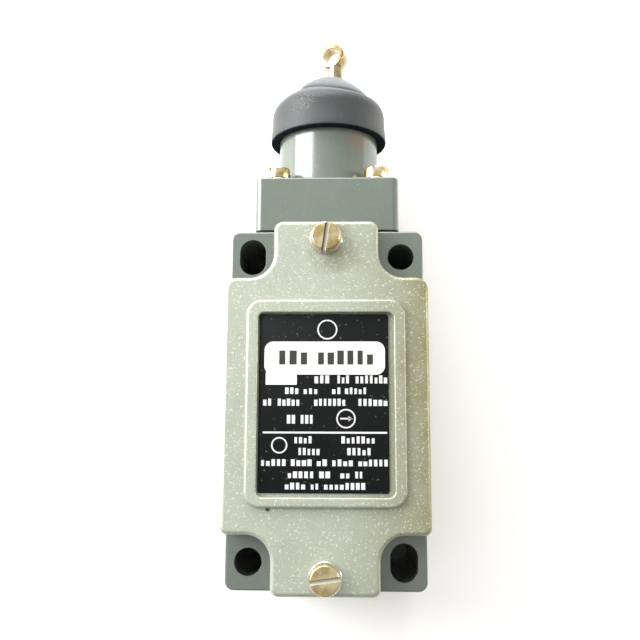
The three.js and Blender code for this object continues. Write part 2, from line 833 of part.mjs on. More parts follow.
const openGap = bridgeThickness / 2 + 0.15;
const closedLegY = closedBridgeY + openGap;
const openLegY = openBridgeY - stroke - openGap - stripThickness;
const carrierTopY = 17.5;
const carrierBottomY = -1;
const channelBottomY = -9.4;
const channelTopY = 18.4;
const guideRadius = stemRadius + 0.2;
const carrierPlay = 0.35;
const footZ = blockFrontZ + seat;
const clampZ = footZ + stripThickness + seat;
const clampThickness = 0.9;
const terminalSeatZ = clampZ + clampThickness;
const terminalX = (stripInnerX + stripOuterX) / 2;
const terminalY = {
  nc: closedLegY + footLength / 2 + stripThickness / 2,
  no: openLegY - footLength / 2 + stripThickness / 2,
};
const windows = {
  nc: [closedBridgeY - 4.65, closedBridgeY + 0.6],
  no: [openBridgeY - 0.6, openBridgeY + 4.2],
};
const windowHalfZ = bridgeHalfZ + clearance;
const terminalHoleDepth = 6.5;
const terminalScrewLength = 7.5;
const clampHalfWidth = 2.9;
const earthClampRadius = 3;
const earthClampThickness = 1.2;

// A notch for each block screw's head, open toward the front and the block's end.
const notch = { halfX: 2.1, outward: 0.1, halfY: 3, floorZ: blockBackZ + 5 };

function contactBlock() {
  const body = plate(
    rectangle(across(blockHalfX), [blockBottomY, blockTopY], 1),
    [blockBackZ, blockFrontZ],
  );
  const chamberBack = stemZ - carrierHalfZ - 1;
  const open = blockFrontZ + cutPast;
  const slotPlay = 0.15;
  const legSlot = (y) =>
    block(across(stripOuterX + slotPlay), [y - slotPlay, y + stripThickness + slotPlay], [chamberBack, open]);
  const holes = [-1, 1].flatMap((side) =>
    Object.values(terminalY).map((y) =>
      cylinderZ(terminalScrew.shankRadius + threadPlay, [blockFrontZ - terminalHoleDepth, open], {
        x: side * terminalX,
        y,
        sides: 16,
      }),
    ),
  );
  const notches = blockScrewPlaces.map(({ x, y }) => {
    const middle = x + Math.sign(x) * notch.outward;
    return joined(
      block(
        [middle - notch.halfX, middle + notch.halfX],
        [y - notch.halfY, y + notch.halfY],
        [notch.floorZ, open],
      ),
      cylinderZ(blockScrew.shankRadius + threadPlay, [blockBackZ - cutPast, open], { x, y, sides: 16 }),
    );
  });
  return cut(
    body,
    block(
      across(chamberHalfX),
      [openLegY - slotPlay, closedLegY + stripThickness + slotPlay],
      [chamberBack, open],
    ),
    block(across(carrierHalfX + carrierPlay), [channelBottomY, channelTopY], [
      stemZ - carrierHalfZ - carrierPlay,
      open,
    ]),
    legSlot(closedLegY),
    legSlot(openLegY),
    cylinderY(guideRadius, [channelTopY - cutPast, blockTopY + cutPast], { z: stemZ, sides: 20 }),
    ...holes,
    ...notches,
  );
}

function contactCarrier() {
  const ends = [carrierBottomY, carrierTopY];
  const body = block(across(carrierHalfX), ends, [stemZ - carrierHalfZ, stemZ + carrierHalfZ]);
  const opened = Object.values(windows).map((y) =>
    block(across(carrierHalfX + cutPast), y, [stemZ - windowHalfZ, stemZ + windowHalfZ]),
  );
  const dome = new THREE.SphereGeometry(stemRadius, 16, 10).translate(0, stemRestY, stemZ);
  return joined(
    cut(body, ...opened),
    cylinderY(stemRadius, [carrierTopY - seat, stemRestY], { z: stemZ, sides: 16 }),
    solid(dome),
  );
}

function bridge(y) {
  const half = bridgeThickness / 2;
  return block(across(bridgeHalfX), [y - half, y + half], [stemZ - bridgeHalfZ, stemZ + bridgeHalfZ]);
}

// A fixed contact: a leg that faces the bridge, and a foot under its terminal screw.
function fixedContact(side, kind) {
  const x = [side * stripInnerX, side * stripOuterX].sort((a, b) => a - b);
  const legY = kind === "nc" ? closedLegY : openLegY;
  const footStart = kind === "nc" ? legY : legY + stripThickness - footLength;
  const footY = [footStart, footStart + footLength];
  return cut(
    joined(
      block(x, [legY, legY + stripThickness], [stemZ - bridgeHalfZ, footZ + stripThickness]),
      block(x, footY, [footZ, footZ + stripThickness]),
    ),
    cylinderZ(terminalScrew.shankRadius + threadPlay, [footZ - cutPast, footZ + 2], {
      x: side * terminalX,
      y: terminalY[kind],
      sides: 16,
    }),
  );
}

function clampPlate(x, y) {
  return cut(
    block(
      [x - clampHalfWidth, x + clampHalfWidth],
      [y - clampHalfWidth, y + clampHalfWidth],
      [clampZ, terminalSeatZ],
    ),
    cylinderZ(terminalScrew.shankRadius + threadPlay, [clampZ - cutPast, clampZ + 3], { x, y, sides: 16 }),
  );
}

function chamberCover() {
  const wide = chamberHalfX + 0.7;
  const narrow = stripInnerX - 0.6;
  const low = openLegY + stripThickness + 0.5;
  const high = closedLegY - 0.4;
  return plate(
    outline([
      [-narrow, channelBottomY - 0.8, 0.4],
      [narrow, channelBottomY - 0.8, 0.4],
      [narrow, low, 0.4],
      [wide, low, 0.4],
      [wide, high, 0.4],
      [narrow, high, 0.4],
      [narrow, channelTopY + 0.8, 0.4],
      [-narrow, channelTopY + 0.8, 0.4],
      [-narrow, high, 0.4],
      [-wide, high, 0.4],
      [-wide, low, 0.4],
      [-narrow, low, 0.4],
    ]),
    [footZ, footZ + stripThickness],
  );
}

place("contact_block", "moulding", contactBlock());
place("contact_carrier", "paleMoulding", contactCarrier());
place("chamber_cover", "paleMoulding", chamberCover());
place("contact_bridge_nc", "brass", bridge(closedBridgeY));
place("contact_bridge_no", "brass", bridge(openBridgeY));
place(
  "contact_spring_nc",
  "steel",
  coilSpring(contactSpring, [windows.nc[0], closedBridgeY - bridgeThickness / 2], { z: stemZ }),
);
place(
  "contact_spring_no",
  "steel",
  coilSpring(contactSpring, [openBridgeY + bridgeThickness / 2, windows.no[1]], { z: stemZ }),
);
place("carrier_spring", "steel", coilSpring(carrierSpring, [channelBottomY, carrierBottomY], { z: stemZ }));

[
  { side: -1, name: "left" },
  { side: 1, name: "right" },
].forEach(({ side, name }) =>
  Object.entries(terminalY).forEach(([kind, y]) => {
    const label = kind + "_" + name;
    const turn = side * (kind === "nc" ? 0.4 : 1.1);
    place("fixed_contact_" + label, "brass", fixedContact(side, kind));
    place("terminal_clamp_" + label, "steel", clampPlate(side * terminalX, y));
    place(
      "terminal_screw_" + label,
      "yellowZinc",
      screwZ(terminalScrew, side * terminalX, y, terminalSeatZ, terminalScrewLength, turn),
    );
  }),
);

blockScrewPlaces.forEach(({ x, y }, i) => {
  const seatZ = notch.floorZ + seat;
  place(
    "block_screw_" + (i + 1),
    "steel",
    screwZ(blockScrew, x + Math.sign(x) * 0.05, y, seatZ, seatZ - blockScrewDepth, 0.6 + i),
  );
});

const earthClampZ = earthBossTop + seat;
const earthSeatZ = earthClampZ + earthClampThickness;
place(
  "earth_clamp",
  "steel",
  washerZ(
    earthClampRadius,
    terminalScrew.shankRadius + threadPlay,
    [earthClampZ, earthSeatZ],
    earthX,
    earthY,
  ),
);
place(
  "earth_screw",
  "yellowZinc",
  screwZ(terminalScrew, earthX, earthY, earthSeatZ, earthSeatZ - earthScrewDepth, 0.3),
);

export default limitSwitch;
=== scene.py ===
"""The looks of a limit switch with a sprung pull rod, modelled around its fixed frame.

Shapes are modelled in millimetres and written in metres. +X is right, +Y runs up to the pull
rod and +Z out through the cover. The switch lies on its mounting face.
"""

import json
import math
import random

import bmesh
import bpy
from bpy.props import FloatProperty, FloatVectorProperty, PointerProperty
from bpy.types import Operator, Panel, PropertyGroup
from mathutils import Matrix, Vector


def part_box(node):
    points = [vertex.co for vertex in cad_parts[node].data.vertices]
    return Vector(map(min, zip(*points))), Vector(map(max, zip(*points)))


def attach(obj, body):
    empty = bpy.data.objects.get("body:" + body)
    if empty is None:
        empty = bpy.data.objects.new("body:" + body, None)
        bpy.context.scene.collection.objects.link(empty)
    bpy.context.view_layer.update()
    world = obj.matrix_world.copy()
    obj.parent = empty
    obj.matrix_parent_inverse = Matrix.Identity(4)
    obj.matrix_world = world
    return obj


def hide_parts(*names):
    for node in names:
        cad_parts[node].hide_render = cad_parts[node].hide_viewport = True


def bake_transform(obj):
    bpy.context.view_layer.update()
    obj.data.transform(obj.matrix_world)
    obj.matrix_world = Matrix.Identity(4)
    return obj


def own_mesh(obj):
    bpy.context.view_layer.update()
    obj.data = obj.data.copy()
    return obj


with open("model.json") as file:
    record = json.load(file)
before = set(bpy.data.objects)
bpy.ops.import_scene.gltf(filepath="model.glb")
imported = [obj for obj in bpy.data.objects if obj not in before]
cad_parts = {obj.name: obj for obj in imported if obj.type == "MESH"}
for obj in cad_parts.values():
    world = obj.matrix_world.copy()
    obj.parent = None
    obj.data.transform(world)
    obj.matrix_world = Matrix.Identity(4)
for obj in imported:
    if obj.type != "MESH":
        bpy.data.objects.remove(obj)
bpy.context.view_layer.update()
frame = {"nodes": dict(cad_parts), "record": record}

bl_info = {
    "name": "Limit switch",
    "version": (1, 0, 0),
    "blender": (4, 5, 0),
    "location": "3D View > Sidebar > Limit switch",
    "description": "Models the finished pieces of a limit switch around its frame",
    "category": "Object",
}

MM = 0.001


def node_box(node):
    """Lowest and highest corner of a node of the frame, in millimetres."""
    low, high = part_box(node)
    return low / MM, high / MM


# -------- places from the frame

HOUSING_LOW, HOUSING_HIGH = node_box("housing")
COVER_LOW, COVER_HIGH = node_box("cover")
HEAD_LOW, HEAD_HIGH = node_box("head_housing")
CAP_LOW, CAP_HIGH = node_box("rubber_cap")
LABEL_LOW, LABEL_HIGH = node_box("label_plate")

FRONT = HOUSING_HIGH.z  # the land under the cover
AXIS_Z = (HEAD_LOW.z + HEAD_HIGH.z) / 2  # the rod's axis above the mounting face

# -------- fixed sizes, in millimetres

ROUND = 8  # straight steps in a rounded corner
EARS = FRONT - 0.3  # the height of the four ears' faces
LAND_MARGIN = 0.15  # the land shows this far round the cover
HOUSING_CORNER = 1.8
CAVITY = {"x": (-16.2, 16.2), "y": (-21.5, 22.0), "floor": 3.0, "corner": 2}
PASSAGE = {"x": (-9.4, 9.4), "y": (-27.0, 29.0), "z": (3.0, 27.0)}
HOLE_RIM = 0.25  # rounding of a fixing hole's rims
RIM_REACH = (3.2, 4.2)  # a hole's rim lies within these half sizes of its middle
HOLE_RADIUS = 2.65
SLOT_REACH = 1.0  # half of what a slot is longer than it is wide
EAR_HOLES = ((-15, 30, SLOT_REACH), (15, 30, 0), (-15, -30, 0), (15, -30, SLOT_REACH))
ENTRY_RADIUS = 9.2
ENTRY_DEPTH = 8.4
THREAD_PITCH = 1.5
THREAD_DEPTH = 0.7
THREAD_START = 1.4  # the first turn lies this far inside the foot
THREAD_STEPS = 56  # straight steps in a turn of the thread
CREST_HALF = 0.1  # half the width of a thread's crest
CREST_CLEAR = 0.05

COVER_FACE = COVER_HIGH.z - 1.0
SHOULDERS = (-24.5, 24.9)
TAB_HALF_WIDTH = 10.35
TAB_CORNERS = (1.6, 1.8)
SHOULDER_CORNERS = (1.4, 2.4)
EAR_ARC = 4.8
COVER_WALL = 2.6
GASKET_INSET = 1.0
GASKET_TOP = FRONT + 0.7
POCKET_TOP = COVER_FACE - 2.1
FRAME_X = (-15.45, 15.45)
FRAME_Y = (-19.5, 20.3)
FRAME_CORNER = 3.0
RECESS_X = (-13.1, 13.1)
RECESS_Y = (-17.45, 17.65)
RECESS_CORNER = 1.2
RECESS_RIM = ((-13.2, 13.2), (-17.6, 17.8))  # the recess's rim lies inside this box
RECESS_FLOOR = COVER_FACE - 0.2
POCKET_CORNER = 2
NICK_RADIUS = 0.5
NICK_PLACE = (FRAME_X[0] + 4.6, FRAME_Y[0] - 0.15)  # a small casting flaw beside the frame
COVER_SCREW_HOLE = 2.0

BLOCK_TOP = 47.2
BARREL_RADIUS = 11.0
BORE_RADIUS = 8.0
BORE_TOP = HEAD_HIGH.y - 2.6
NECK_RADIUS = 4.0
PIN_HOLE_RADIUS = 0.9
PIN_PLACE = (37.6, 17.8)
PIN_HOLE_HALF = 10.3
HEAD_SCREW_SPACING = 20.8
HEAD_SCREW_HOLE = 1.6

CAP_WALL = 1.5
CAP_CLEAR = 0.1  # between the barrel and the cap's skirt
CAP_HOLE = 2.15
SKIRT_INSET = 0.3  # the skirt lies this far inside the rim
CROWN_RADIUS = 8.2
CROWN_LEAN = (68.0, 71.5)  # between these heights the cap's crown comes to follow the rod
CROWN_SHIFT = 1.5
CROWN_DIP = 0.17  # how much the crown falls to the right, for each unit across
CROWN_NOD = 0.13  # how much it falls to the front, for each unit forward
GROOVE = 71.2  # the height of the groove under the crown, before it leans

ROD_RADIUS = 1.75
ROD_LEAN = math.radians(2.6)
EYE_TURN = math.radians(-20)
DISC_Y = 43.2  # where the rod stands on its slider
EYE_Y = 81.0
EYE_RADIUS = 3.0
EYE_HOLE = 1.88
EYE_THICKNESS = 3.5
EYE_OFFSET = -0.7
COLLAR = (2.95, 2.7, 3.7)
THREAD_END = -2.5
THREAD_RADIUS = 1.45

COVER_SCREW = {"head": 2.85, "height": 2.2, "shank": 1.7, "length": 9.4, "slot": 0.9, "depth": 0.9}
HEAD_SCREW = {"head": 2.6, "height": 2.4, "shank": 1.45, "length": 17.5, "slot": 0.8, "depth": 1.0}
HEAD_SCREW_TURNS = (0.2, 0.9, -0.5, 1.3)
COVER_SCREW_TURNS = {"upper": math.radians(82), "lower": math.radians(8)}
COVER_WASHER_HOLE = 2.0
WASHER_EDGE = 0.12
WASHER_RISE = 0.12  # how far a spring washer's ends stand apart
WASHER_CLEAR = 0.01  # the gap left above and below a spring washer
WASHER_STEPS = 44
COIL_CLEAR = 0.02  # the gap left at each end of a coil spring
COIL_STEPS = 28  # straight steps in a turn of a coil spring

# -------- sizes and colours to change


def size_property(name, description, default, low, high):
    """A length in metres that a user can change."""
    return FloatProperty(
        name=name, description=description, default=default, min=low, max=high, unit="LENGTH"
    )


class SwitchSizes(PropertyGroup):
    """Sizes of the finished edges and of the printed plate."""

    cover_edge: size_property(
        "Cover edge radius", "Rounding of the cast cover's outer edge", 0.0009, 0.0002, 0.0014
    )
    frame_edge: size_property(
        "Frame edge radius", "Rounding of the raised frame on the cover", 0.0006, 0.0001, 0.0009
    )
    housing_edge: size_property(
        "Housing edge radius", "Rounding of the painted housing's rims", 0.00045, 0.0001, 0.001
    )
    print_height: size_property(
        "Print thickness", "Thickness of the plate's white print", 0.00004, 0.00002, 0.0002
    )


def colour_property(name, description, default):
    """A colour that a user can change."""
    return FloatVectorProperty(
        name=name, description=description, default=default, subtype="COLOR", size=3, min=0, max=1
    )


class SwitchColours(PropertyGroup):
    """Base colours of the finishes."""

    paint: colour_property("Paint", "Grey-green enamel of the housing and head", (0.102, 0.129, 0.100))
    cast: colour_property("Cast metal", "Bare cast metal of the cover", (0.42, 0.45, 0.37))
    tint: colour_property("Passivation", "Olive tint on the cast cover", (0.22, 0.21, 0.09))
    chromate: colour_property("Chromate", "Yellow chromate on screws and rod", (0.62, 0.47, 0.22))
    rubber: colour_property("Rubber", "The rubber cap", (0.025, 0.032, 0.033))
    plate: colour_property("Plate", "Black of the printed plate", (0.0025, 0.0034, 0.0034))


def sizes():
    return bpy.context.scene.limit_switch_sizes


def colours():
    return bpy.context.scene.limit_switch_colours


# -------- shape helpers


def rectangle(x, y, radius):
    """The corners of a rounded rectangle, each with its radius."""
    return [(x[0], y[0], radius), (x[1], y[0], radius), (x[1], y[1], radius), (x[0], y[1], radius)]


def outlined(corners, z, segments=ROUND):
    """A flat face at z with rounded corners, in a new bmesh."""
    bm = bmesh.new()
    points = [bm.verts.new((x, y, z)) for x, y, _ in corners]
    bm.faces.new(points)
    for radius in sorted({radius for _, _, radius in corners if radius > 0}):
        group = [point for point, corner in zip(points, corners) if corner[2] == radius]
        bmesh.ops.bevel(
            bm,
            geom=group,
            offset=radius,
            segments=segments,
            profile=0.5,
            affect="VERTICES",
            material=-1,
        )
    return bm


def raise_faces(bm, height):
    """Extrudes the flat sheet in bm upwards into a closed solid."""
    made = bmesh.ops.extrude_face_region(bm, geom=list(bm.faces), use_keep_orig=True)
    lifted = [part for part in made["geom"] if isinstance(part, bmesh.types.BMVert)]
    bmesh.ops.translate(bm, vec=(0, 0, height), verts=lifted)
    bmesh.ops.recalc_face_normals(bm, faces=bm.faces)
    return bm


def prism(corners, z, segments=ROUND):
    """A closed solid with that outline, from z[0] to z[1]."""
    return raise_faces(outlined(corners, z[0], segments), z[1] - z[0])


def rod(radius, z, x=0.0, y=0.0, steps=48):
    """A plain round bar along Z."""
    bm = bmesh.new()
    place = Matrix.Translation((x, y, (z[0] + z[1]) / 2))
    bmesh.ops.create_cone(
        bm,
        cap_ends=True,
        segments=steps,
        radius1=radius,
        radius2=radius,
        depth=z[1] - z[0],
        matrix=place,
    )
    return bm


def slot_hole(x, y, reach, z):
    """A cutter for a round hole, or for a slot that reaches further along Y."""
    if reach == 0:
        return rod(HOLE_RADIUS, z, x, y)
    corners = rectangle(
        (x - HOLE_RADIUS, x + HOLE_RADIUS),
        (y - HOLE_RADIUS - reach, y + HOLE_RADIUS + reach),
        HOLE_RADIUS - 0.002,
    )
    return prism(corners, z, 12)


def lathe(profile, steps=64):
    """Turns a closed profile of (radius, height) points about the Z axis."""
    bm = bmesh.new()
    points = [bm.verts.new((radius, 0, height)) for radius, height in profile]
    edges = [bm.edges.new((a, b)) for a, b in zip(points, points[1:] + points[:1]) if a.co.x or b.co.x]
    bmesh.ops.spin(
        bm,
        geom=points + edges,
        cent=(0, 0, 0),
        axis=(0, 0, 1),
        angle=math.tau,
        steps=steps,
        use_merge=True,
    )
    bmesh.ops.remove_doubles(bm, verts=bm.verts, dist=1e-4)
    bmesh.ops.recalc_face_normals(bm, faces=bm.faces)
    return bm


def section(profile):
    """A flat face of (radius, height) points beside the Z axis, in a new bmesh."""
    bm = bmesh.new()
    bm.faces.new([bm.verts.new((radius, 0, height)) for radius, height in profile])
    return bm


def wind(bm, rise, angle, steps):
    """Sweeps the flat face in bm about the Z axis, rising a little with every step."""
    bmesh.ops.spin(
        bm,
        geom=[*bm.verts, *bm.edges, *bm.faces],
        cent=(0, 0, 0),
        axis=(0, 0, 1),
        dvec=(0, 0, rise),
        angle=angle,
        steps=steps,
    )
    return bm


def moved(bm, x=0.0, y=0.0, z=0.0):
    bmesh.ops.translate(bm, vec=(x, y, z), verts=bm.verts)
    return bm


def turned(bm, angle, axis):
    bmesh.ops.rotate(bm, cent=(0, 0, 0), matrix=Matrix.Rotation(angle, 3, axis), verts=bm.verts)
    return bm


def laid(bm, x=0.0, z=0.0):
    """Lays a solid that stands along Z down along +Y, with its axis at x and z."""
    return moved(turned(bm, -math.pi / 2, "X"), x=x, z=z)


def temporary(bm):
    """A bmesh as a scene object for a moment."""
    mesh = bpy.data.meshes.new("work")
    bm.to_mesh(mesh)
    bm.free()
    obj = bpy.data.objects.new("work", mesh)
    bpy.context.scene.collection.objects.link(obj)
    return obj


def combined(operation, bm, *others):
    """The solid left when the others are joined to bm or taken from it."""
    work = [temporary(part) for part in (bm, *others)]
    for other in work[1:]:
        step = work[0].modifiers.new("Step", "BOOLEAN")
        step.operation = operation
        step.solver = "EXACT"
        step.object = other
    depsgraph = bpy.context.evaluated_depsgraph_get()
    mesh = bpy.data.meshes.new_from_object(work[0].evaluated_get(depsgraph))
    result = bmesh.new()
    result.from_mesh(mesh)
    bpy.data.meshes.remove(mesh)
    for obj in work:
        bpy.data.meshes.remove(obj.data)
    bmesh.ops.remove_doubles(result, verts=result.verts, dist=1e-4)
    bmesh.ops.dissolve_limit(
        result, angle_limit=math.radians(0.5), verts=result.verts, edges=result.edges
    )
    if not result.faces:
        raise RuntimeError("a boolean step left nothing")
    return result


def cut(bm, *cutters):
    return combined("DIFFERENCE", bm, *cutters)


def joined(bm, *others):
    return combined("UNION", bm, *others)


def level_edges(bm, z, sharper=40, inside=None):
    """The sharp edges that lie at height z, and inside a box of x and y if one is given."""
    limit = math.radians(sharper)
    found = []
    for edge in bm.edges:
        if not all(abs(point.co.z - z) < 0.01 for point in edge.verts):
            continue
        if edge.calc_face_angle(0) < limit:
            continue
        if inside and not all(
            inside[0][0] <= point.co.x <= inside[0][1] and inside[1][0] <= point.co.y <= inside[1][1]
            for point in edge.verts
        ):
            continue
        found.append(edge)
    return found


def rounded(bm, edges, radius, segments=4):
    """Rounds those edges."""
    bmesh.ops.bevel(
        bm,
        geom=edges,
        offset=radius,
        segments=segments,
        profile=0.5,
        affect="EDGES",
        material=-1,
        clamp_overlap=True,
    )
    return bm


def finished(bm, name, body, material, slot, *nodes, smooth=35):
    """Writes a shape as a piece that stands for its nodes, and rides on its body if it has one."""
    bmesh.ops.recalc_face_normals(bm, faces=bm.faces)
    bmesh.ops.scale(bm, vec=(MM, MM, MM), verts=bm.verts)
    mesh = bpy.data.meshes.new(name)
    bm.to_mesh(mesh)
    bm.free()
    mesh.shade_smooth()
    mesh.set_sharp_from_angle(angle=math.radians(smooth))
    mesh.materials.append(material)
    obj = bpy.data.objects.new(name, mesh)
    bpy.context.scene.collection.objects.link(obj)
    if body:
        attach(obj, body)
    if nodes:
        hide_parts(*nodes)
    return obj


def even_shading(obj):
    """Lets large faces decide how their rounded edges are shaded."""
    weighted = obj.modifiers.new("Even shading", "WEIGHTED_NORMAL")
    weighted.keep_sharp = True
    return obj


# -------- material helpers

SPECK_EDGE = 0.05  # how softly a speck begins
SLOT_LIT = (1.0, 0.94, 0.78)
SLOT_DARK = (0.05, 0.03, 0.012)
SLOT_BLUR = 0.02
SLOT_DEPTHS = (0.16, 0.06)  # the slot's shading grows between these depths under the head's top


def math_node(tree, operation, first, second):
    """A sum of two sockets or numbers, in a node tree."""
    node = tree.nodes.new("ShaderNodeMath")
    node.operation = operation
    for socket, value in zip(node.inputs, (first, second)):
        if isinstance(value, bpy.types.NodeSocket):
            tree.links.new(value, socket)
        else:
            socket.default_value = value
    return node.outputs["Value"]


def shader_group(name, vectors, numbers, masks):
    """A new shader group with those inputs and mask outputs, and its two end nodes."""
    group = bpy.data.node_groups.new(name, "ShaderNodeTree")
    for label in vectors:
        group.interface.new_socket(label, in_out="INPUT", socket_type="NodeSocketVector")
    for label, default in numbers:
        socket = group.interface.new_socket(label, in_out="INPUT", socket_type="NodeSocketFloat")
        socket.default_value = default
    for label in masks:
        group.interface.new_socket(label, in_out="OUTPUT", socket_type="NodeSocketFloat")
    return group, group.nodes.new("NodeGroupInput"), group.nodes.new("NodeGroupOutput")


def mask_group():
    """Soft blotches, fine grain and sparse specks over a surface, as three masks."""
    name = "Surface masks"
    if name in bpy.data.node_groups:
        return bpy.data.node_groups[name]
    scales = (("Blotch scale", 150.0), ("Grain scale", 3000.0), ("Speck scale", 1800.0))
    masks = (("Blotches", 3.0), ("Grain", 2.0), ("Specks", 1.0))
    numbers = (*scales, ("Speck start", 0.68))
    group, given, result = shader_group(name, ("Vector",), numbers, [label for label, _ in masks])
    links = group.links
    for (label, detail), (scale, _) in zip(masks, scales):
        noise = group.nodes.new("ShaderNodeTexNoise")
        noise.inputs["Detail"].default_value = detail
        links.new(given.outputs["Vector"], noise.inputs["Vector"])
        links.new(given.outputs[scale], noise.inputs["Scale"])
        if label != "Specks":
            links.new(noise.outputs["Fac"], result.inputs[label])
            continue
        step = group.nodes.new("ShaderNodeMapRange")
        start = given.outputs["Speck start"]
        links.new(noise.outputs["Fac"], step.inputs["Value"])
        links.new(start, step.inputs["From Min"])
        links.new(math_node(group, "ADD", start, SPECK_EDGE), step.inputs["From Max"])
        links.new(step.outputs["Result"], result.inputs[label])
    return group


def spot_group():
    """A soft round spot about a point, with a ragged edge, as a mask."""
    name = "Soft spot"
    if name in bpy.data.node_groups:
        return bpy.data.node_groups[name]
    numbers = (("Radius", 0.0), ("Ragged", 0.0))
    group, given, result = shader_group(name, ("Vector", "Centre"), numbers, ("Mask",))
    away = group.nodes.new("ShaderNodeVectorMath")
    away.operation = "DISTANCE"
    group.links.new(given.outputs["Vector"], away.inputs[0])
    group.links.new(given.outputs["Centre"], away.inputs[1])
    ragged = math_node(group, "MULTIPLY", given.outputs["Ragged"], given.outputs["Radius"])
    fade = group.nodes.new("ShaderNodeMapRange")
    fade.interpolation_type = "SMOOTHSTEP"
    fade.inputs["To Min"].default_value = 1.0
    fade.inputs["To Max"].default_value = 0.0
    group.links.new(math_node(group, "ADD", away.outputs["Value"], ragged), fade.inputs["Value"])
    group.links.new(given.outputs["Radius"], fade.inputs["From Max"])
    group.links.new(fade.outputs["Result"], result.inputs["Mask"])
    return group


class Finish:
    """A Principled material with the shared masks, which the finishes below mix into it."""

    def __init__(self, name, blotch=150.0, grain=3000.0, speck=1800.0, speck_start=0.68):
        self.material = bpy.data.materials.new(name)
        self.material.use_nodes = True
        self.tree = self.material.node_tree
        self.nodes = self.tree.nodes
        self.links = self.tree.links
        self.shader = self.nodes["Principled BSDF"]
        self.place = self.nodes.new("ShaderNodeTexCoord").outputs["Object"]
        masks = self.nodes.new("ShaderNodeGroup")
        masks.node_tree = mask_group()
        self.links.new(self.place, masks.inputs["Vector"])
        masks.inputs["Blotch scale"].default_value = blotch
        masks.inputs["Grain scale"].default_value = grain
        masks.inputs["Speck scale"].default_value = speck
        masks.inputs["Speck start"].default_value = speck_start
        self.blotches, self.grain, self.specks = masks.outputs
        self.colour = None

    def set(self, **values):
        """Constants on the shader's own sockets, such as metallic=1.0."""
        for key, value in values.items():
            self.shader.inputs[key.replace("_", " ").title().replace("Ior", "IOR")].default_value = value
        return self

    def ranged(self, value, low, high, start=0.0, end=1.0):
        """A mask that runs from low to high as value runs from start to end."""
        node = self.nodes.new("ShaderNodeMapRange")
        self.links.new(value, node.inputs["Value"])
        for label, number in (("From Min", start), ("From Max", end), ("To Min", low), ("To Max", high)):
            node.inputs[label].default_value = number
        return node.outputs["Result"]

    def between(self, mask, first, second):
        """A colour that is first where the mask is 0 and second where it is 1."""
        node = self.nodes.new("ShaderNodeMix")
        node.data_type = "RGBA"
        self.links.new(mask, node.inputs["Factor"])
        for label, colour in (("A", first), ("B", second)):
            socket = next(s for s in node.inputs if s.name == label and s.type == "RGBA")
            if isinstance(colour, bpy.types.NodeSocket):
                self.links.new(colour, socket)
            else:
                socket.default_value = (*colour, 1.0)
        self.colour = next(s for s in node.outputs if s.type == "RGBA")
        return self.colour

    def math(self, operation, first, second):
        """A sum of two sockets or numbers."""
        return math_node(self.tree, operation, first, second)

    def feed(self, label, value):
        """Lets a socket drive one of the shader's own."""
        self.links.new(value, self.shader.inputs[label])

    def spot(self, centre, radius, ragged=0.6):
        """A soft spot about a point in millimetres."""
        node = self.nodes.new("ShaderNodeGroup")
        node.node_tree = spot_group()
        self.links.new(self.place, node.inputs["Vector"])
        node.inputs["Centre"].default_value = [value * MM for value in centre]
        node.inputs["Radius"].default_value = radius * MM
        edge = self.ranged(self.blotches, -ragged, ragged, 0.3, 0.7)
        self.links.new(edge, node.inputs["Ragged"])
        return node.outputs["Mask"]

    def across(self, axis):
        """The object's own coordinate along X, Y or Z."""
        node = self.nodes.new("ShaderNodeSeparateXYZ")
        self.links.new(self.place, node.inputs["Vector"])
        return node.outputs[axis]

    def slot_shade(self, under, centre, top, turn, width):
        """A screw's slot, pale on the wall that the window lights and dark on the other."""
        half = width / 2 * MM
        parts = []
        for axis, middle, share in zip("XY", centre, (-math.sin(turn), math.cos(turn))):
            beside = self.math("SUBTRACT", self.across(axis), middle * MM)
            parts.append(self.math("MULTIPLY", beside, share))
        offset = self.math("ADD", *parts)
        inside = self.ranged(self.math("ABSOLUTE", offset, 0.0), 1.0, 0.0, half, half + SLOT_BLUR * MM)
        below = self.ranged(self.across("Z"), 1.0, 0.0, *((top - depth) * MM for depth in SLOT_DEPTHS))
        floor = self.between(self.ranged(offset, 0.0, 1.0, -half, half), SLOT_LIT, SLOT_DARK)
        return self.between(self.math("MULTIPLY", inside, below), under, floor)

    def facing(self, axis):
        """How far the surface faces along the object's own X, Y or Z, from -1 to 1."""
        coordinates = self.nodes.new("ShaderNodeTexCoord")
        node = self.nodes.new("ShaderNodeSeparateXYZ")
        self.links.new(coordinates.outputs["Normal"], node.inputs["Vector"])
        return node.outputs[axis]

    def bumped(self, height, strength, depth):
        """Bumps of that depth in millimetres where height is 1."""
        node = self.nodes.new("ShaderNodeBump")
        node.inputs["Strength"].default_value = strength
        node.inputs["Distance"].default_value = depth * MM
        self.links.new(height, node.inputs["Height"])
        self.feed("Normal", node.outputs["Normal"])

    def done(self, roughness):
        """The finished material, with that roughness."""
        self.feed("Base Color", self.colour)
        self.feed("Roughness", roughness)
        return self.material


def shade(colour, factor):
    return tuple(min(1.0, value * factor) for value in colour)


def once(make):
    """Makes a material the first time it is asked for, and hands out the same one after that."""
    kept = {}

    def get():
        if make not in kept:
            kept[make] = make()
        return kept[make]

    return get


# -------- the finishes

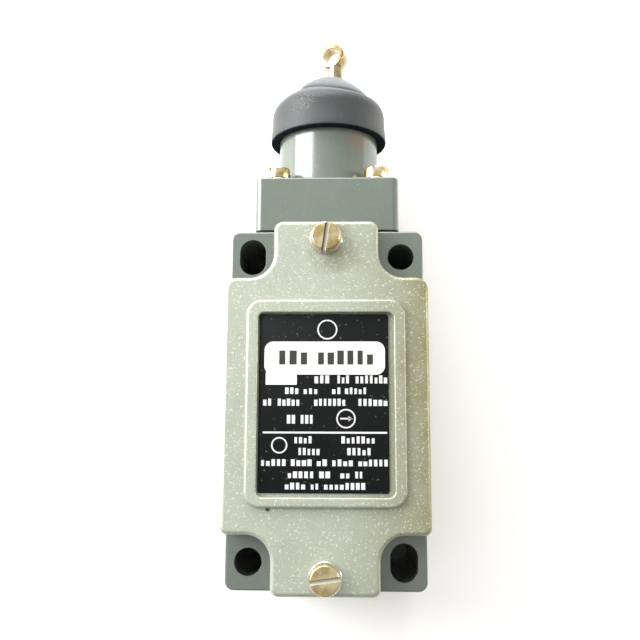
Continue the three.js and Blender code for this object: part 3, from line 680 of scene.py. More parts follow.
PALE_SPECK = (0.40, 0.44, 0.36)
RUST = (0.22, 0.11, 0.045)
RUST_SPOT = {"centre": (6.0, 58.2, 25.0), "radius": 2.8, "ragged": 1.1}
# Near-white painted glints on the cast cover's grain.
GLINT_COLOUR = (0.92, 0.94, 0.84)
TINT_SPAN = (4, 21)  # the cover's olive tint grows between these places along X
SCREW_TINT_SPOT = {"centre": (1.8, 29.5, COVER_FACE), "radius": 7.5}
STRAW = (0.86, 0.75, 0.48)
STAIN = (0.36, 0.22, 0.09)
# A painted blue-grey highlight on the cap's crown, above its groove.
CROWN_HIGHLIGHT = (0.15, 0.18, 0.195)
CROWN_HIGHLIGHT_START = (0.0, 1.2)  # these three are heights about the cap's groove
# The next two bound a painted dark line of shade along the groove.
GROOVE_SHADE_START = (-0.8, -0.2)
GROOVE_SHADE_END = (0.1, 0.6)
# Painted shade on the cap's rim underside, the faces that turn back towards the housing.
UNDERSIDE_SHADE = (0.013, 0.018, 0.023)
DUST = (0.5, 0.49, 0.43)
DUST_SPOT = {"centre": (-7.0, 62.6, AXIS_Z + 9.8), "radius": 5.5, "ragged": 0.9}
SCUFF = (0.5, 0.55, 0.56)


@once
def enamel():
    """Grey-green stove enamel over a rough casting, with a rust smear under the cap's rim."""
    finish = Finish("Grey-green enamel", blotch=95, grain=1500, speck=2600, speck_start=0.71)
    finish.set(coat_weight=0.8, coat_roughness=0.16, coat_ior=1.7)
    paint = colours().paint
    tone = finish.between(finish.blotches, shade(paint, 0.86), shade(paint, 1.14))
    dusty = finish.between(finish.math("MULTIPLY", finish.specks, 0.3), tone, PALE_SPECK)
    finish.between(finish.math("MULTIPLY", finish.spot(**RUST_SPOT), 0.4), dusty, RUST)
    finish.bumped(finish.grain, 0.35, 0.12)
    return finish.done(finish.ranged(finish.blotches, 0.34, 0.48))


@once
def bare_casting():
    """Tumbled cast metal: grain with painted near-white glints, and an olive tint towards its right-hand
    side.
    """
    finish = Finish("Bare cast metal", blotch=150, grain=3600, speck=3000, speck_start=0.64)
    finish.set(metallic=0.5)
    cast, tint = colours().cast, colours().tint
    tone = finish.between(finish.blotches, shade(cast, 0.84), shade(cast, 1.12))
    side = finish.ranged(finish.across("X"), 0.0, 0.85, *(end * MM for end in TINT_SPAN))
    ragged = finish.math("MULTIPLY", side, finish.ranged(finish.blotches, 0.55, 1.3, 0.3, 0.7))
    around_screw = finish.math("MULTIPLY", finish.spot(**SCREW_TINT_SPOT), 0.5)
    tinted = finish.between(finish.math("MAXIMUM", ragged, around_screw), tone, tint)
    # Painted glints: near-white specks in the colour, standing in for light caught by the grain.
    painted_glints = finish.math("MULTIPLY", finish.specks, 0.45)
    finish.between(painted_glints, tinted, GLINT_COLOUR)
    finish.bumped(finish.grain, 0.45, 0.10)
    return finish.done(finish.ranged(finish.grain, 0.30, 0.52, 0.3, 0.7))


def chromate(name, strength=1.0, slot=None):
    """Zinc plate with yellow chromate, which shifts between gold, straw and a pinkish brown. A strength
    below 1 darkens the whole copy as painted shade.
    """
    finish = Finish(name, blotch=420, grain=5200, speck=3200, speck_start=0.66)
    finish.set(metallic=1.0)
    gold = shade(colours().chromate, strength)
    straw = shade(STRAW, strength)
    base = finish.between(finish.ranged(finish.blotches, 0, 1, 0.35, 0.65), shade(gold, 0.8), straw)
    brown = finish.math("MULTIPLY", finish.specks, 0.7)
    stained = finish.between(brown, base, STAIN)
    if slot:
        finish.slot_shade(stained, *slot)
    finish.bumped(finish.grain, 0.25, 0.04)
    return finish.done(finish.ranged(finish.grain, 0.18, 0.36))


@once
def yellow_chromate():
    return chromate("Yellow chromated zinc")


# The rod's copy of the chromate is darkened as painted shade, so that the lamps don't burn it out.
@once
def shaded_rod_chromate():
    return chromate("Yellow chromated rod, painted shade", strength=0.58)


def plain_metal(name, colour, low, high):
    """A machined or drawn metal with faint stains and a fine grain."""
    finish = Finish(name, blotch=300, grain=6000, speck=2500, speck_start=0.7)
    finish.set(metallic=1.0)
    base = finish.between(finish.blotches, shade(colour, 0.85), shade(colour, 1.1))
    stains = finish.math("MULTIPLY", finish.specks, 0.4)
    finish.between(stains, base, shade(colour, 0.45))
    finish.bumped(finish.grain, 0.2, 0.03)
    return finish.done(finish.ranged(finish.grain, low, high))


@once
def spring_steel():
    return plain_metal("Spring steel", (0.72, 0.71, 0.66), 0.16, 0.3)


@once
def machined_steel():
    return plain_metal("Machined steel", (0.55, 0.55, 0.53), 0.25, 0.42)


@once
def contact_brass():
    return plain_metal("Brass", (0.68, 0.5, 0.2), 0.22, 0.38)


@once
def cap_rubber():
    """Black rubber with a painted blue-grey highlight on its crown, a painted dark line of shade along
    its groove, painted shade on its underside, and dust caught on its left shoulder.
    """
    finish = Finish("Rubber", blotch=170, grain=2400, speck=3300, speck_start=0.60)
    finish.set(sheen_roughness=0.45)
    rubber = colours().rubber
    tone = finish.between(finish.blotches, shade(rubber, 0.72), shade(rubber, 1.35))
    forward = finish.math("MULTIPLY", finish.math("SUBTRACT", finish.across("Z"), AXIS_Z * MM), CROWN_NOD)
    sideways = finish.math("MULTIPLY", finish.across("X"), CROWN_DIP)
    height = finish.math("ADD", finish.across("Y"), finish.math("ADD", forward, sideways))

    def about_groove(low, high, span):
        return finish.ranged(height, low, high, *((GROOVE + end) * MM for end in span))

    # A painted highlight on the crown, above the groove.
    highlighted = finish.between(about_groove(0.0, 0.6, CROWN_HIGHLIGHT_START), tone, CROWN_HIGHLIGHT)
    # A painted dark line of shade along the groove.
    line = finish.math("MULTIPLY", about_groove(0.0, 1.0, GROOVE_SHADE_START), about_groove(1.0, 0.0, GROOVE_SHADE_END))
    groove_shaded = finish.between(line, highlighted, shade(rubber, 0.3))
    # Painted shade on the faces that turn back towards the housing, with less sheen and specular there.
    under = finish.ranged(finish.facing("Y"), 1.0, 0.0, -0.6, -0.12)
    lit = finish.math("SUBTRACT", 1.0, under)
    finish.feed("Sheen Weight", finish.math("MULTIPLY", lit, 0.2))
    finish.feed("Specular IOR Level", finish.math("MULTIPLY", lit, 0.5))
    shaded = finish.between(under, groove_shaded, UNDERSIDE_SHADE)
    shoulder = finish.spot(**DUST_SPOT)
    dust = finish.math("MULTIPLY", finish.specks, finish.ranged(shoulder, 0.03, 0.22))
    finish.between(dust, shaded, DUST)
    finish.bumped(finish.grain, 0.4, 0.10)
    return finish.done(finish.ranged(finish.blotches, 0.42, 0.62))


@once
def gasket_rubber():
    """Black gasket rubber, slightly greyed."""
    finish = Finish("Gasket rubber", blotch=200, grain=3500, speck=2500, speck_start=0.7)
    finish.between(finish.blotches, (0.02, 0.022, 0.022), (0.05, 0.052, 0.05))
    finish.bumped(finish.grain, 0.3, 0.05)
    return finish.done(finish.ranged(finish.grain, 0.6, 0.8))


@once
def painted_gasket():
    """A fibre gasket with the housing's paint over its edge."""
    finish = Finish("Painted fibre", blotch=200, grain=3500, speck=2500, speck_start=0.7)
    paint = colours().paint
    finish.between(finish.blotches, shade(paint, 0.6), shade(paint, 0.9))
    finish.bumped(finish.grain, 0.3, 0.05)
    return finish.done(finish.ranged(finish.grain, 0.5, 0.7))


@once
def black_foil():
    """The plate's black printed foil, with a few pale scuffs."""
    finish = Finish("Black printed foil", blotch=140, grain=2200, speck=1600, speck_start=0.70)
    finish.set(specular_ior_level=0.18)
    plate = colours().plate
    tone = finish.between(finish.blotches, shade(plate, 0.7), shade(plate, 1.7))
    scuffs = finish.math("MULTIPLY", finish.specks, 0.14)
    finish.between(scuffs, tone, SCUFF)
    finish.bumped(finish.grain, 0.12, 0.03)
    return finish.done(finish.ranged(finish.blotches, 0.38, 0.55))


def ink(name, light, dark, roughness):
    """A printed or paper surface with a faint unevenness."""
    finish = Finish(name, blotch=400, grain=4000, speck=2600, speck_start=0.72)
    finish.between(finish.blotches, dark, light)
    finish.bumped(finish.grain, 0.1, 0.02)
    return finish.done(finish.ranged(finish.grain, roughness - 0.06, roughness + 0.08))


@once
def white_print():
    return ink("White print", (0.70, 0.71, 0.69), (0.54, 0.55, 0.55), 0.5)


@once
def sticker_paper():
    return ink("Sticker paper", (0.76, 0.77, 0.74), (0.70, 0.71, 0.68), 0.55)


@once
def black_print():
    return ink("Black print", (0.035, 0.034, 0.028), (0.012, 0.012, 0.01), 0.5)


def moulding(name, light, dark):
    """A moulded plastic with a slight texture and flow marks."""
    finish = Finish(name, blotch=130, grain=2800, speck=2200, speck_start=0.69)
    base = finish.between(finish.blotches, dark, light)
    finish.between(finish.math("MULTIPLY", finish.specks, 0.25), base, shade(light, 1.6))
    finish.bumped(finish.grain, 0.2, 0.04)
    return finish.done(finish.ranged(finish.grain, 0.36, 0.52))


@once
def black_moulding():
    return moulding("Black moulding", (0.032, 0.033, 0.036), (0.018, 0.018, 0.02))


@once
def pale_moulding():
    return moulding("Pale moulding", (0.72, 0.67, 0.54), (0.6, 0.56, 0.44))


SLOT_FINISHES = {
    "paint": enamel,
    "cast_cover": bare_casting,
    "yellow_zinc": yellow_chromate,
    "spring_steel": spring_steel,
    "machined_steel": machined_steel,
    "brass": contact_brass,
    "rubber": gasket_rubber,
    "label_black": black_foil,
    "black_moulding": black_moulding,
    "pale_moulding": pale_moulding,
}


# -------- casing


def housing_shape():
    """The painted body: four ears round the cavity, with the cable entry at its foot."""
    full = (-1.0, FRONT + 1)
    outer = rectangle((HOUSING_LOW.x, HOUSING_HIGH.x), (HOUSING_LOW.y, HOUSING_HIGH.y), HOUSING_CORNER)
    body = prism(outer, (0, EARS))
    edge = sizes().housing_edge / MM
    rounded(body, level_edges(body, EARS) + level_edges(body, 0), edge)
    land = prism(cover_corners(-LAND_MARGIN), (EARS - 1, FRONT))
    land = combined("INTERSECT", land, prism(outer, (0, FRONT + 1)))
    cavity = prism(rectangle(CAVITY["x"], CAVITY["y"], CAVITY["corner"]), (CAVITY["floor"], FRONT + 1))
    passage = prism(rectangle(PASSAGE["x"], PASSAGE["y"], 0), PASSAGE["z"])
    foot = HOUSING_LOW.y
    entry = laid(rod(ENTRY_RADIUS + THREAD_DEPTH, (foot - 1, foot + ENTRY_DEPTH + 1), steps=64), z=AXIS_Z)
    opening = laid(rod(BORE_RADIUS, (PASSAGE["y"][1] - 1, HOUSING_HIGH.y + 1), steps=64), z=AXIS_Z)
    ears = [slot_hole(x, y, reach, full) for x, y, reach in EAR_HOLES]
    body = cut(joined(body, land), cavity, passage, entry, opening, *ears)
    rims = []
    for x, y, _ in EAR_HOLES:
        near = ((x - RIM_REACH[0], x + RIM_REACH[0]), (y - RIM_REACH[1], y + RIM_REACH[1]))
        for level in (0, EARS):
            rims += level_edges(body, level, inside=near)
    return rounded(body, rims, HOLE_RIM, 3)


def entry_thread():
    """The cable entry's female thread, as a sleeve of sharp-crested turns."""
    outer = ENTRY_RADIUS + THREAD_DEPTH - 0.01
    crest = ENTRY_RADIUS + CREST_CLEAR
    flank = THREAD_PITCH / 2 - 0.01
    turns = int(ENTRY_DEPTH / THREAD_PITCH) - 1
    profile = [(outer, -flank), (crest, -CREST_HALF), (crest, CREST_HALF), (outer, flank)]
    bm = section(profile)
    wind(bm, THREAD_PITCH / THREAD_STEPS, math.tau * turns, THREAD_STEPS * turns)
    return laid(moved(bm, z=HOUSING_LOW.y + THREAD_START), z=AXIS_Z)


def cover_corners(inset=0.0):
    """The cover's outline: wide between the ears, a tab at each end, an arc round each ear."""
    wide = COVER_HIGH.x - inset
    tab = TAB_HALF_WIDTH - inset
    low, high = COVER_LOW.y + inset, COVER_HIGH.y - inset
    lower, upper = SHOULDERS[0] + inset, SHOULDERS[1] - inset
    arc = EAR_ARC + inset
    right = [
        (tab, low, TAB_CORNERS[0]),
        (tab, lower, arc),
        (wide, lower, SHOULDER_CORNERS[0]),
        (wide, upper, SHOULDER_CORNERS[1]),
        (tab, upper, arc),
        (tab, high, TAB_CORNERS[1]),
    ]
    left = [(-x, y, radius) for x, y, radius in reversed(right)]
    return right + left


def cover_shape():
    """The cast cover, hollow behind, with its raised frame and the recess for the plate."""
    plate = prism(cover_corners(), (COVER_LOW.z, COVER_FACE))
    rounded(plate, level_edges(plate, COVER_FACE), sizes().cover_edge / MM, 5)
    raised = prism(rectangle(FRAME_X, FRAME_Y, FRAME_CORNER), (COVER_FACE - 1, COVER_HIGH.z))
    rounded(raised, level_edges(raised, COVER_HIGH.z), sizes().frame_edge / MM, 5)
    recess = prism(rectangle(RECESS_X, RECESS_Y, RECESS_CORNER), (RECESS_FLOOR, COVER_HIGH.z + 1))
    across = (COVER_LOW.x + COVER_WALL, COVER_HIGH.x - COVER_WALL)
    along = (SHOULDERS[0] + COVER_WALL, SHOULDERS[1] - COVER_WALL)
    pocket = prism(rectangle(across, along, POCKET_CORNER), (COVER_LOW.z - 1, POCKET_TOP))
    groove = prism(cover_corners(GASKET_INSET), (COVER_LOW.z - 1, GASKET_TOP))
    through = (COVER_LOW.z - 1, COVER_FACE + 1)
    screws = [rod(COVER_SCREW_HOLE, through, y=screw_y(end)) for end in COVER_SCREW_TURNS]
    nick = turned(rod(NICK_RADIUS, (-0.5, 1), steps=7), 0.5, "X")
    moved(nick, *NICK_PLACE, COVER_FACE)
    body = cut(joined(plate, raised), recess, pocket, groove, *screws, nick)
    return rounded(body, level_edges(body, COVER_HIGH.z, inside=RECESS_RIM), 0.35, 4)


def screw_y(end):
    low, high = node_box("cover_screw_" + end)
    return (low.y + high.y) / 2


class CasingPieces(Operator):
    """Models the painted housing, the thread of its cable entry and the cast cover"""

    bl_idname = "limit_switch.casing"
    bl_label = "Casing"

    def execute(self, context):
        shell = finished(housing_shape(), "housing_shell", "casing", enamel(), "paint", "housing")
        even_shading(shell)
        finished(entry_thread(), "entry_thread", "casing", enamel(), "paint")
        cover = finished(cover_shape(), "cast_cover", "casing", bare_casting(), "cast_cover", "cover")
        even_shading(cover)
        return {"FINISHED"}


# -------- printed plate

PRINT_BASE = LABEL_HIGH.z
CHARACTER = 0.72
CHARACTER_GAP = 0.24
MARK_WIDTHS = (0.72, 1.0)  # how wide and how tall a mark is, as shares of its place
MARK_HEIGHTS = (0.72, 0.86, 1.0, 1.0)
STICKER_X = (-11.85, 11.4)
STICKER_Y = (5.65, 12.05)
STICKER_CORNER = 1.7
STICKER_LAYERS = 3.5  # how many times thicker than the print the sticker is
SMALL_STICKER = ((-11.55, -5.55), (3.7, 6.2))
SMALL_STICKER_CORNER = 0.15
SMALL_STICKER_LAYERS = 2
STICKER_CHARACTER = 1.45
STICKER_GAP = 0.5
STICKER_WORDS = (8.95, 2.7, ((-9.2, -3.4), (-1.6, 9.2)))
RULE = {"middle": (-0.15, -5.4), "size": (23.7, 0.36)}
RINGS = ((0.3, 14.4, 1.95), (3.9, -2.75, 1.85), (-8.8, -7.8, 1.55))
RING_WIDTH = 0.28
ARROW = (3.9, -2.75)
ARROW_SHAFT = (2.2, 0.3)
ARROW_HEAD = {"radius": 0.55, "reach": 0.75}

# Each row of print: its middle, its height, and where its words begin and end.
PRINT_ROWS = (
    (4.75, 1.55, ((-2.2, 0.7), (2.2, 4.5), (5.7, 11.8))),
    (2.55, 1.25, ((-7.8, -5.2), (-4.3, -1.5), (1.2, 2.9), (3.7, 7.8))),
    (0.35, 1.35, ((-12.0, -10.4), (-9.2, -5.0), (-2.2, 3.8), (6.2, 11.8))),
    (-2.9, 1.65, ((-7.4, -5.8), (-4.8, -2.4))),
    (-6.75, 1.35, ((-6.0, -2.6), (3.0, 9.4))),
    (-8.95, 1.35, ((-5.2, -1.1), (4.1, 8.6))),
    (-11.05, 1.25, ((-12.3, -7.5), (-6.6, -2.6), (-1.7, 0.3), (1.2, 5.2), (6.2, 11.8))),
    (-13.3, 1.25, ((-7.2, -2.2), (-1.2, 0.9), (2.8, 4.6), (5.6, 7.0))),
    (-15.4, 1.25, ((-7.7, -3.8), (-2.8, -1.3), (-0.3, 7.5))),
)


def word_marks(bm, y, height, words, character, gap, z, thickness):
    """Adds a row of plain upright marks that stand for the letters of its words."""
    draw = random.Random(round(1000 * y))
    for start, end in words:
        count = max(1, round((end - start + gap) / (character + gap)))
        pitch = (end - start + gap) / count
        for index in range(count):
            wide = (pitch - gap) * draw.uniform(*MARK_WIDTHS)
            tall = height * draw.choice(MARK_HEIGHTS)
            middle = (start + index * pitch + (pitch - gap) / 2, y - (height - tall) / 2)
            add_mark(bm, middle, (wide, tall), z, thickness)


def add_mark(bm, middle, size, z, thickness):
    """A small flat block of print."""
    place = Matrix.Translation((*middle, z + thickness / 2))
    scale = Matrix.Diagonal((*size, thickness, 1))
    bmesh.ops.create_cube(bm, size=1, matrix=place @ scale)


def add_solid(bm, other):
    """Adds another solid's faces to bm."""
    mesh = bpy.data.meshes.new("work")
    other.to_mesh(mesh)
    other.free()
    bm.from_mesh(mesh)
    bpy.data.meshes.remove(mesh)
    return bm


def add_ring(bm, x, y, radius, z, thickness):
    """A flat printed ring."""
    hole, top = radius - RING_WIDTH, z + thickness
    ring = lathe([(hole, z), (radius, z), (radius, top), (hole, top)], 32)
    add_solid(bm, moved(ring, x, y))


def plate_print():
    """The plate's white print: rows of marks, a rule, plain rings and a plain arrow."""
    thickness = sizes().print_height / MM
    bm = bmesh.new()
    for y, height, words in PRINT_ROWS:
        word_marks(bm, y, height, words, CHARACTER, CHARACTER_GAP, PRINT_BASE, thickness)
    add_mark(bm, RULE["middle"], RULE["size"], PRINT_BASE, thickness)
    for x, y, radius in RINGS:
        add_ring(bm, x, y, radius, PRINT_BASE, thickness)
    add_mark(bm, ARROW, ARROW_SHAFT, PRINT_BASE, thickness)
    head = rod(ARROW_HEAD["radius"], (PRINT_BASE, PRINT_BASE + thickness), steps=3)
    turned(head, -math.pi / 2, "Z")
    return add_solid(bm, moved(head, ARROW[0] + ARROW_HEAD["reach"], ARROW[1]))


class PlatePieces(Operator):
    """Models the black plate, its print and the two stickers on it"""

    bl_idname = "limit_switch.plate"
    bl_label = "Printed plate"

    def execute(self, context):
        thickness = sizes().print_height / MM
        outline = rectangle((LABEL_LOW.x, LABEL_HIGH.x), (LABEL_LOW.y, LABEL_HIGH.y), 0.5)
        plate = prism(outline, (LABEL_LOW.z, LABEL_HIGH.z))
        rounded(plate, level_edges(plate, LABEL_HIGH.z), 0.08, 2)
        finished(plate, "black_plate", "casing", black_foil(), "label_black", "label_plate")
        finished(plate_print(), "plate_print", "casing", white_print(), "label_black")
        small_top = PRINT_BASE + SMALL_STICKER_LAYERS * thickness
        small = prism(rectangle(*SMALL_STICKER, SMALL_STICKER_CORNER), (PRINT_BASE, small_top), 3)
        finished(small, "small_sticker", "casing", sticker_paper(), "label_black")
        top = PRINT_BASE + STICKER_LAYERS * thickness
        sticker = prism(rectangle(STICKER_X, STICKER_Y, STICKER_CORNER), (PRINT_BASE, top))
        finished(sticker, "sticker", "casing", sticker_paper(), "label_black")
        marks = bmesh.new()
        y, height, words = STICKER_WORDS
        word_marks(marks, y, height, words, STICKER_CHARACTER, STICKER_GAP, top, thickness)
        finished(marks, "sticker_print", "casing", black_print(), "label_black")
        return {"FINISHED"}


# -------- screws and washers


def slotted_screw(size, turn):
    """A slotted cheese-head screw that stands on z = 0."""
    head = rod(size["head"], (0, size["height"]), steps=64)
    rounded(head, level_edges(head, size["height"]), 0.35, 4)
    rounded(head, level_edges(head, 0), 0.12, 2)
    shank = rod(size["shank"], (-size["length"], 0.2), steps=32)
    rounded(shank, level_edges(shank, -size["length"]), 0.4, 1)
    slot = prism(
        rectangle((-4, 4), (-size["slot"] / 2, size["slot"] / 2), 0),
        (size["height"] - size["depth"], size["height"] + 1),
    )
    return cut(joined(head, shank), turned(slot, turn, "Z"))


def flat_washer(outer, inner, thickness):
    """A plain washer with its outer edges chamfered, which stands on z = 0."""
    flat, side = outer - WASHER_EDGE, thickness - WASHER_EDGE
    outside = [(flat, 0), (outer, WASHER_EDGE), (outer, side), (flat, thickness)]
    return lathe([(inner, 0), *outside, (inner, thickness)])


def split_washer(outer, inner, thickness, gap_angle=0.2):
    """A spring washer whose ring is cut through and stands slightly open at the cut."""
    low = WASHER_CLEAR
    high = thickness - WASHER_RISE - WASHER_CLEAR
    bm = turned(section(((inner, low), (outer, low), (outer, high), (inner, high))), gap_angle / 2, "Z")
    wind(bm, WASHER_RISE / WASHER_STEPS, math.tau - gap_angle, WASHER_STEPS)
    bmesh.ops.recalc_face_normals(bm, faces=bm.faces)
    long_edges = [edge for edge in bm.edges if edge.calc_face_angle(0) > 1.2]
    return rounded(bm, long_edges, 0.08, 2)


class FastenerPieces(Operator):
    """Models the cover's and the head's slotted screws with their washers"""

    bl_idname = "limit_switch.fasteners"
    bl_label = "Screws and washers"

    def execute(self, context):
        for end, turn in COVER_SCREW_TURNS.items():
            washer_low, washer_high = node_box("cover_washer_" + end)
            screw = moved(slotted_screw(COVER_SCREW, turn), y=screw_y(end), z=washer_high.z)
            slot = ((0, screw_y(end)), washer_high.z + COVER_SCREW["height"], turn, COVER_SCREW["slot"])
            plated = chromate("Chromated screw, " + end, slot=slot)
            finished(screw, "slotted_screw_" + end, "casing", plated, "yellow_zinc", "cover_screw_" + end)
            radius, thickness = (washer_high.x - washer_low.x) / 2, washer_high.z - washer_low.z
            washer = flat_washer(radius, COVER_WASHER_HOLE, thickness)
            moved(washer, y=screw_y(end), z=washer_low.z)
            steel = spring_steel()
            finished(washer, "flat_washer_" + end, "casing", steel, "yellow_zinc", "cover_washer_" + end)
        for number, turn in enumerate(HEAD_SCREW_TURNS, 1):
            node = f"head_spring_washer_{number}"
            low, high = node_box(node)
            x = math.copysign(HEAD_SCREW_SPACING / 2, low.x + high.x)
            z = (low.z + high.z) / 2
            washer = split_washer(HEAD_SCREW["head"], HEAD_SCREW_HOLE, high.y - low.y)
            if x < 0:
                turned(washer, math.pi, "Z")
            laid(moved(washer, z=low.y), x, z)
            finished(washer, f"spring_washer_{number}", "casing", spring_steel(), "spring_steel", node)
            screw = laid(moved(slotted_screw(HEAD_SCREW, turn), z=high.y), x, z)
            name, node = f"cheese_head_screw_{number}", f"head_screw_{number}"
            finished(screw, name, "casing", yellow_chromate(), "yellow_zinc", node)
        return {"FINISHED"}


# -------- actuator head


def head_shape():
    """The head casting: a square flange with a round barrel, bored for the slider."""
    half_width, half_depth = HEAD_HIGH.x, (HEAD_HIGH.z - HEAD_LOW.z) / 2
    flange = prism(
        rectangle((-half_width, half_width), (-half_depth, half_depth), 1.5), (HEAD_LOW.y, BLOCK_TOP)
    )
    rounded(flange, level_edges(flange, BLOCK_TOP), 0.45, 4)
    barrel = rod(BARREL_RADIUS, (BLOCK_TOP - 1, HEAD_HIGH.y), steps=96)
    rounded(barrel, level_edges(barrel, HEAD_HIGH.y), 1.0, 4)
    bore = rod(BORE_RADIUS, (HEAD_LOW.y - 1, BORE_TOP), steps=64)
    neck = rod(NECK_RADIUS, (BORE_TOP - 1, HEAD_HIGH.y + 1), steps=48)
    places = [(x, y) for x in (-1, 1) for y in (-1, 1)]
    half = HEAD_SCREW_SPACING / 2
    through = (HEAD_LOW.y - 1, BLOCK_TOP + 1)
    screws = [rod(HEAD_SCREW_HOLE, through, x * half, y * half, 32) for x, y in places]
    pin = turned(rod(PIN_HOLE_RADIUS, (-PIN_HOLE_HALF, PIN_HOLE_HALF), steps=24), math.pi / 2, "Y")
    moved(pin, y=AXIS_Z - PIN_PLACE[1], z=PIN_PLACE[0])
    return laid(cut(joined(flange, barrel), bore, neck, pin, *screws), z=AXIS_Z)


def cap_profile():
    """Half of the cap's section, from the skirt's inner edge over the crown and back inside."""
    wall, hole, crown = CAP_WALL, CAP_HOLE, CROWN_RADIUS
    inner = BARREL_RADIUS + CAP_CLEAR
    rim, skirt = CAP_HIGH.x, CAP_HIGH.x - SKIRT_INSET
    foot, top = CAP_LOW.y, CAP_HIGH.y
    outside = [
        (inner, foot + 0.2),
        (inner + 0.15, foot + 0.02),
        (rim - 0.45, foot + 0.02),
        (rim - 0.12, foot + 0.12),
        (rim, foot + 0.45),
        (rim - 0.05, foot + 1.5),
        (skirt + 0.1, foot + 3.0),
        (skirt, foot + 4.6),
        (skirt, foot + 6.2),
        (skirt - 0.2, foot + 7.3),
        (skirt - 0.95, foot + 8.6),
        (crown + 1.95, foot + 10.2),
        (crown + 0.85, foot + 11.0),
        (crown + 0.45, foot + 11.2),
        (crown + 0.1, foot + 11.2),
        (crown - 0.05, foot + 11.45),
        (crown - 0.15, foot + 12.1),
        (crown - 0.6, foot + 12.7),
        (crown - 1.9, foot + 13.9),
        (crown - 3.9, foot + 15.1),
        (hole + 0.6, top - 0.12),
        (hole + 0.15, top - 0.02),
        (hole, top - 0.2),
    ]
    inside = [
        (hole, top - 0.9),
        (hole + 0.1, top - wall),
        (crown - 4.4, foot + 15.0 - wall),
        (crown - 2.6, foot + 13.8 - wall),
        (crown - 1.5, foot + 12.4 - wall),
        (crown - 1.0, foot + 11.2 - wall),
        (skirt - 2.4, foot + 8.9 - wall),
        (inner, foot + 6.6 - wall),
        (inner, foot + 3.0),
    ]
    return outside + inside


def cap_shape():
    """The cap, whose crown sits to the right of its skirt and dips there, as the rod leans."""
    bm = laid(lathe(cap_profile(), 48), z=AXIS_Z)
    for point in bm.verts:
        share = min(1.0, max(0.0, (point.co.y - CROWN_LEAN[0]) / (CROWN_LEAN[1] - CROWN_LEAN[0])))
        share = share * share * (3 - 2 * share)
        across, forward = point.co.x, point.co.z - AXIS_Z
        point.co.x = across + share * CROWN_SHIFT
        point.co.y -= share * (CROWN_DIP * across + CROWN_NOD * forward)
    return bm


def flat_gasket():
    """The head's gasket, with the same holes as the flange."""
    low, high = node_box("head_gasket")
    half_depth = (high.z - low.z) / 2
    sheet = prism(rectangle((low.x, high.x), (-half_depth, half_depth), 1.5), (low.y, high.y))
    return laid(cut(sheet, rod(BORE_RADIUS + 0.3, (low.y - 1, high.y + 1), steps=64)), z=AXIS_Z)


class HeadPieces(Operator):
    """Models the head casting, its gasket and the rubber cap"""

    bl_idname = "limit_switch.head"
    bl_label = "Actuator head"

    def execute(self, context):
        casting = finished(head_shape(), "head_casting", "casing", enamel(), "paint", "head_housing")
        even_shading(casting)
        finished(flat_gasket(), "flange_gasket", "casing", painted_gasket(), "rubber", "head_gasket")
        cap = finished(cap_shape(), "cap", None, cap_rubber(), "rubber", "rubber_cap", smooth=180)
        smoothing = cap.modifiers.new("Smoothing", "SUBSURF")
        smoothing.levels = 2
        smoothing.render_levels = 2
        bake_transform(cap)
        return {"FINISHED"}


# -------- pull rod and springs


def rod_shape():
    """The pull rod with its collar and threaded end, and the thick eye on its outer end."""
    eye_centre = (EYE_Y - DISC_Y) / math.cos(ROD_LEAN)
    collar_radius, collar_low, collar_high = COLLAR
    shank = rod(ROD_RADIUS, (collar_low, eye_centre - EYE_HOLE - 0.4), steps=48)
    tail = rod(THREAD_RADIUS, (THREAD_END, collar_low + 0.1), steps=32)
    collar = rod(collar_radius, (collar_low, collar_high), steps=48)
    eye = rod(EYE_RADIUS, (-EYE_THICKNESS / 2, EYE_THICKNESS / 2), steps=64)
    rounded(eye, level_edges(eye, EYE_THICKNESS / 2) + level_edges(eye, -EYE_THICKNESS / 2), 0.3, 4)
    hole = rod(EYE_HOLE, (-EYE_THICKNESS, EYE_THICKNESS), steps=64)
    for part in (eye, hole):
        moved(turned(part, math.pi / 2, "X"), x=EYE_OFFSET, z=eye_centre)
    bar = joined(shank, tail, collar, eye)
    body = laid(cut(bar, hole))
    turned(body, EYE_TURN, "Y")
    turned(body, -ROD_LEAN, "Z")
    return moved(body, y=DISC_Y, z=AXIS_Z)


def coil(radius, wire, turns, ends, z):
    """A coil spring along Y between two ends."""
    bm = bmesh.new()
    clear = wire + COIL_CLEAR
    place = Matrix.Translation((radius, 0, 0)) @ Matrix.Rotation(math.pi / 2, 4, "X")
    bmesh.ops.create_circle(bm, cap_ends=True, segments=12, radius=wire, matrix=place)
    steps = COIL_STEPS * turns
    wind(bm, (ends[1] - ends[0] - 2 * clear) / steps, math.tau * turns, steps)
    return laid(moved(bm, z=ends[0] + clear), z=z)


# Each spring: its piece, its node, its body, its coil and wire radius, its turns, and the joint that
# squashes it with the end that stays put, where there is one.
SPRINGS = (
    ("return_coil", "return_spring", "casing", 4.7, 0.5, 6, "rod_pull", "high"),
    ("carrier_coil", "carrier_spring", "casing", 2.0, 0.28, 6, "carrier_slide", "low"),
    ("contact_nc_coil", "contact_spring_nc", "contact_carrier", 1.0, 0.22, 4, None, None),
    ("contact_no_coil", "contact_spring_no", "contact_carrier", 1.0, 0.22, 4, None, None),
)


class RodPieces(Operator):
    """Models the pull rod with its eye, and the coil springs"""

    bl_idname = "limit_switch.rod"
    bl_label = "Pull rod and springs"

    def execute(self, context):
        finished(rod_shape(), "eye_rod", "pull_rod", shaded_rod_chromate(), "yellow_zinc", "pull_rod")
        for name, node, body, radius, wire, turns, joint, still in SPRINGS:
            low, high = node_box(node)
            shape = coil(radius, wire, turns, (low.y, high.y), (low.z + high.z) / 2)
            piece = finished(shape, name, body, spring_steel(), "spring_steel", node)
            if joint:
                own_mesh(piece)
        return {"FINISHED"}


# -------- pieces that stay as they are


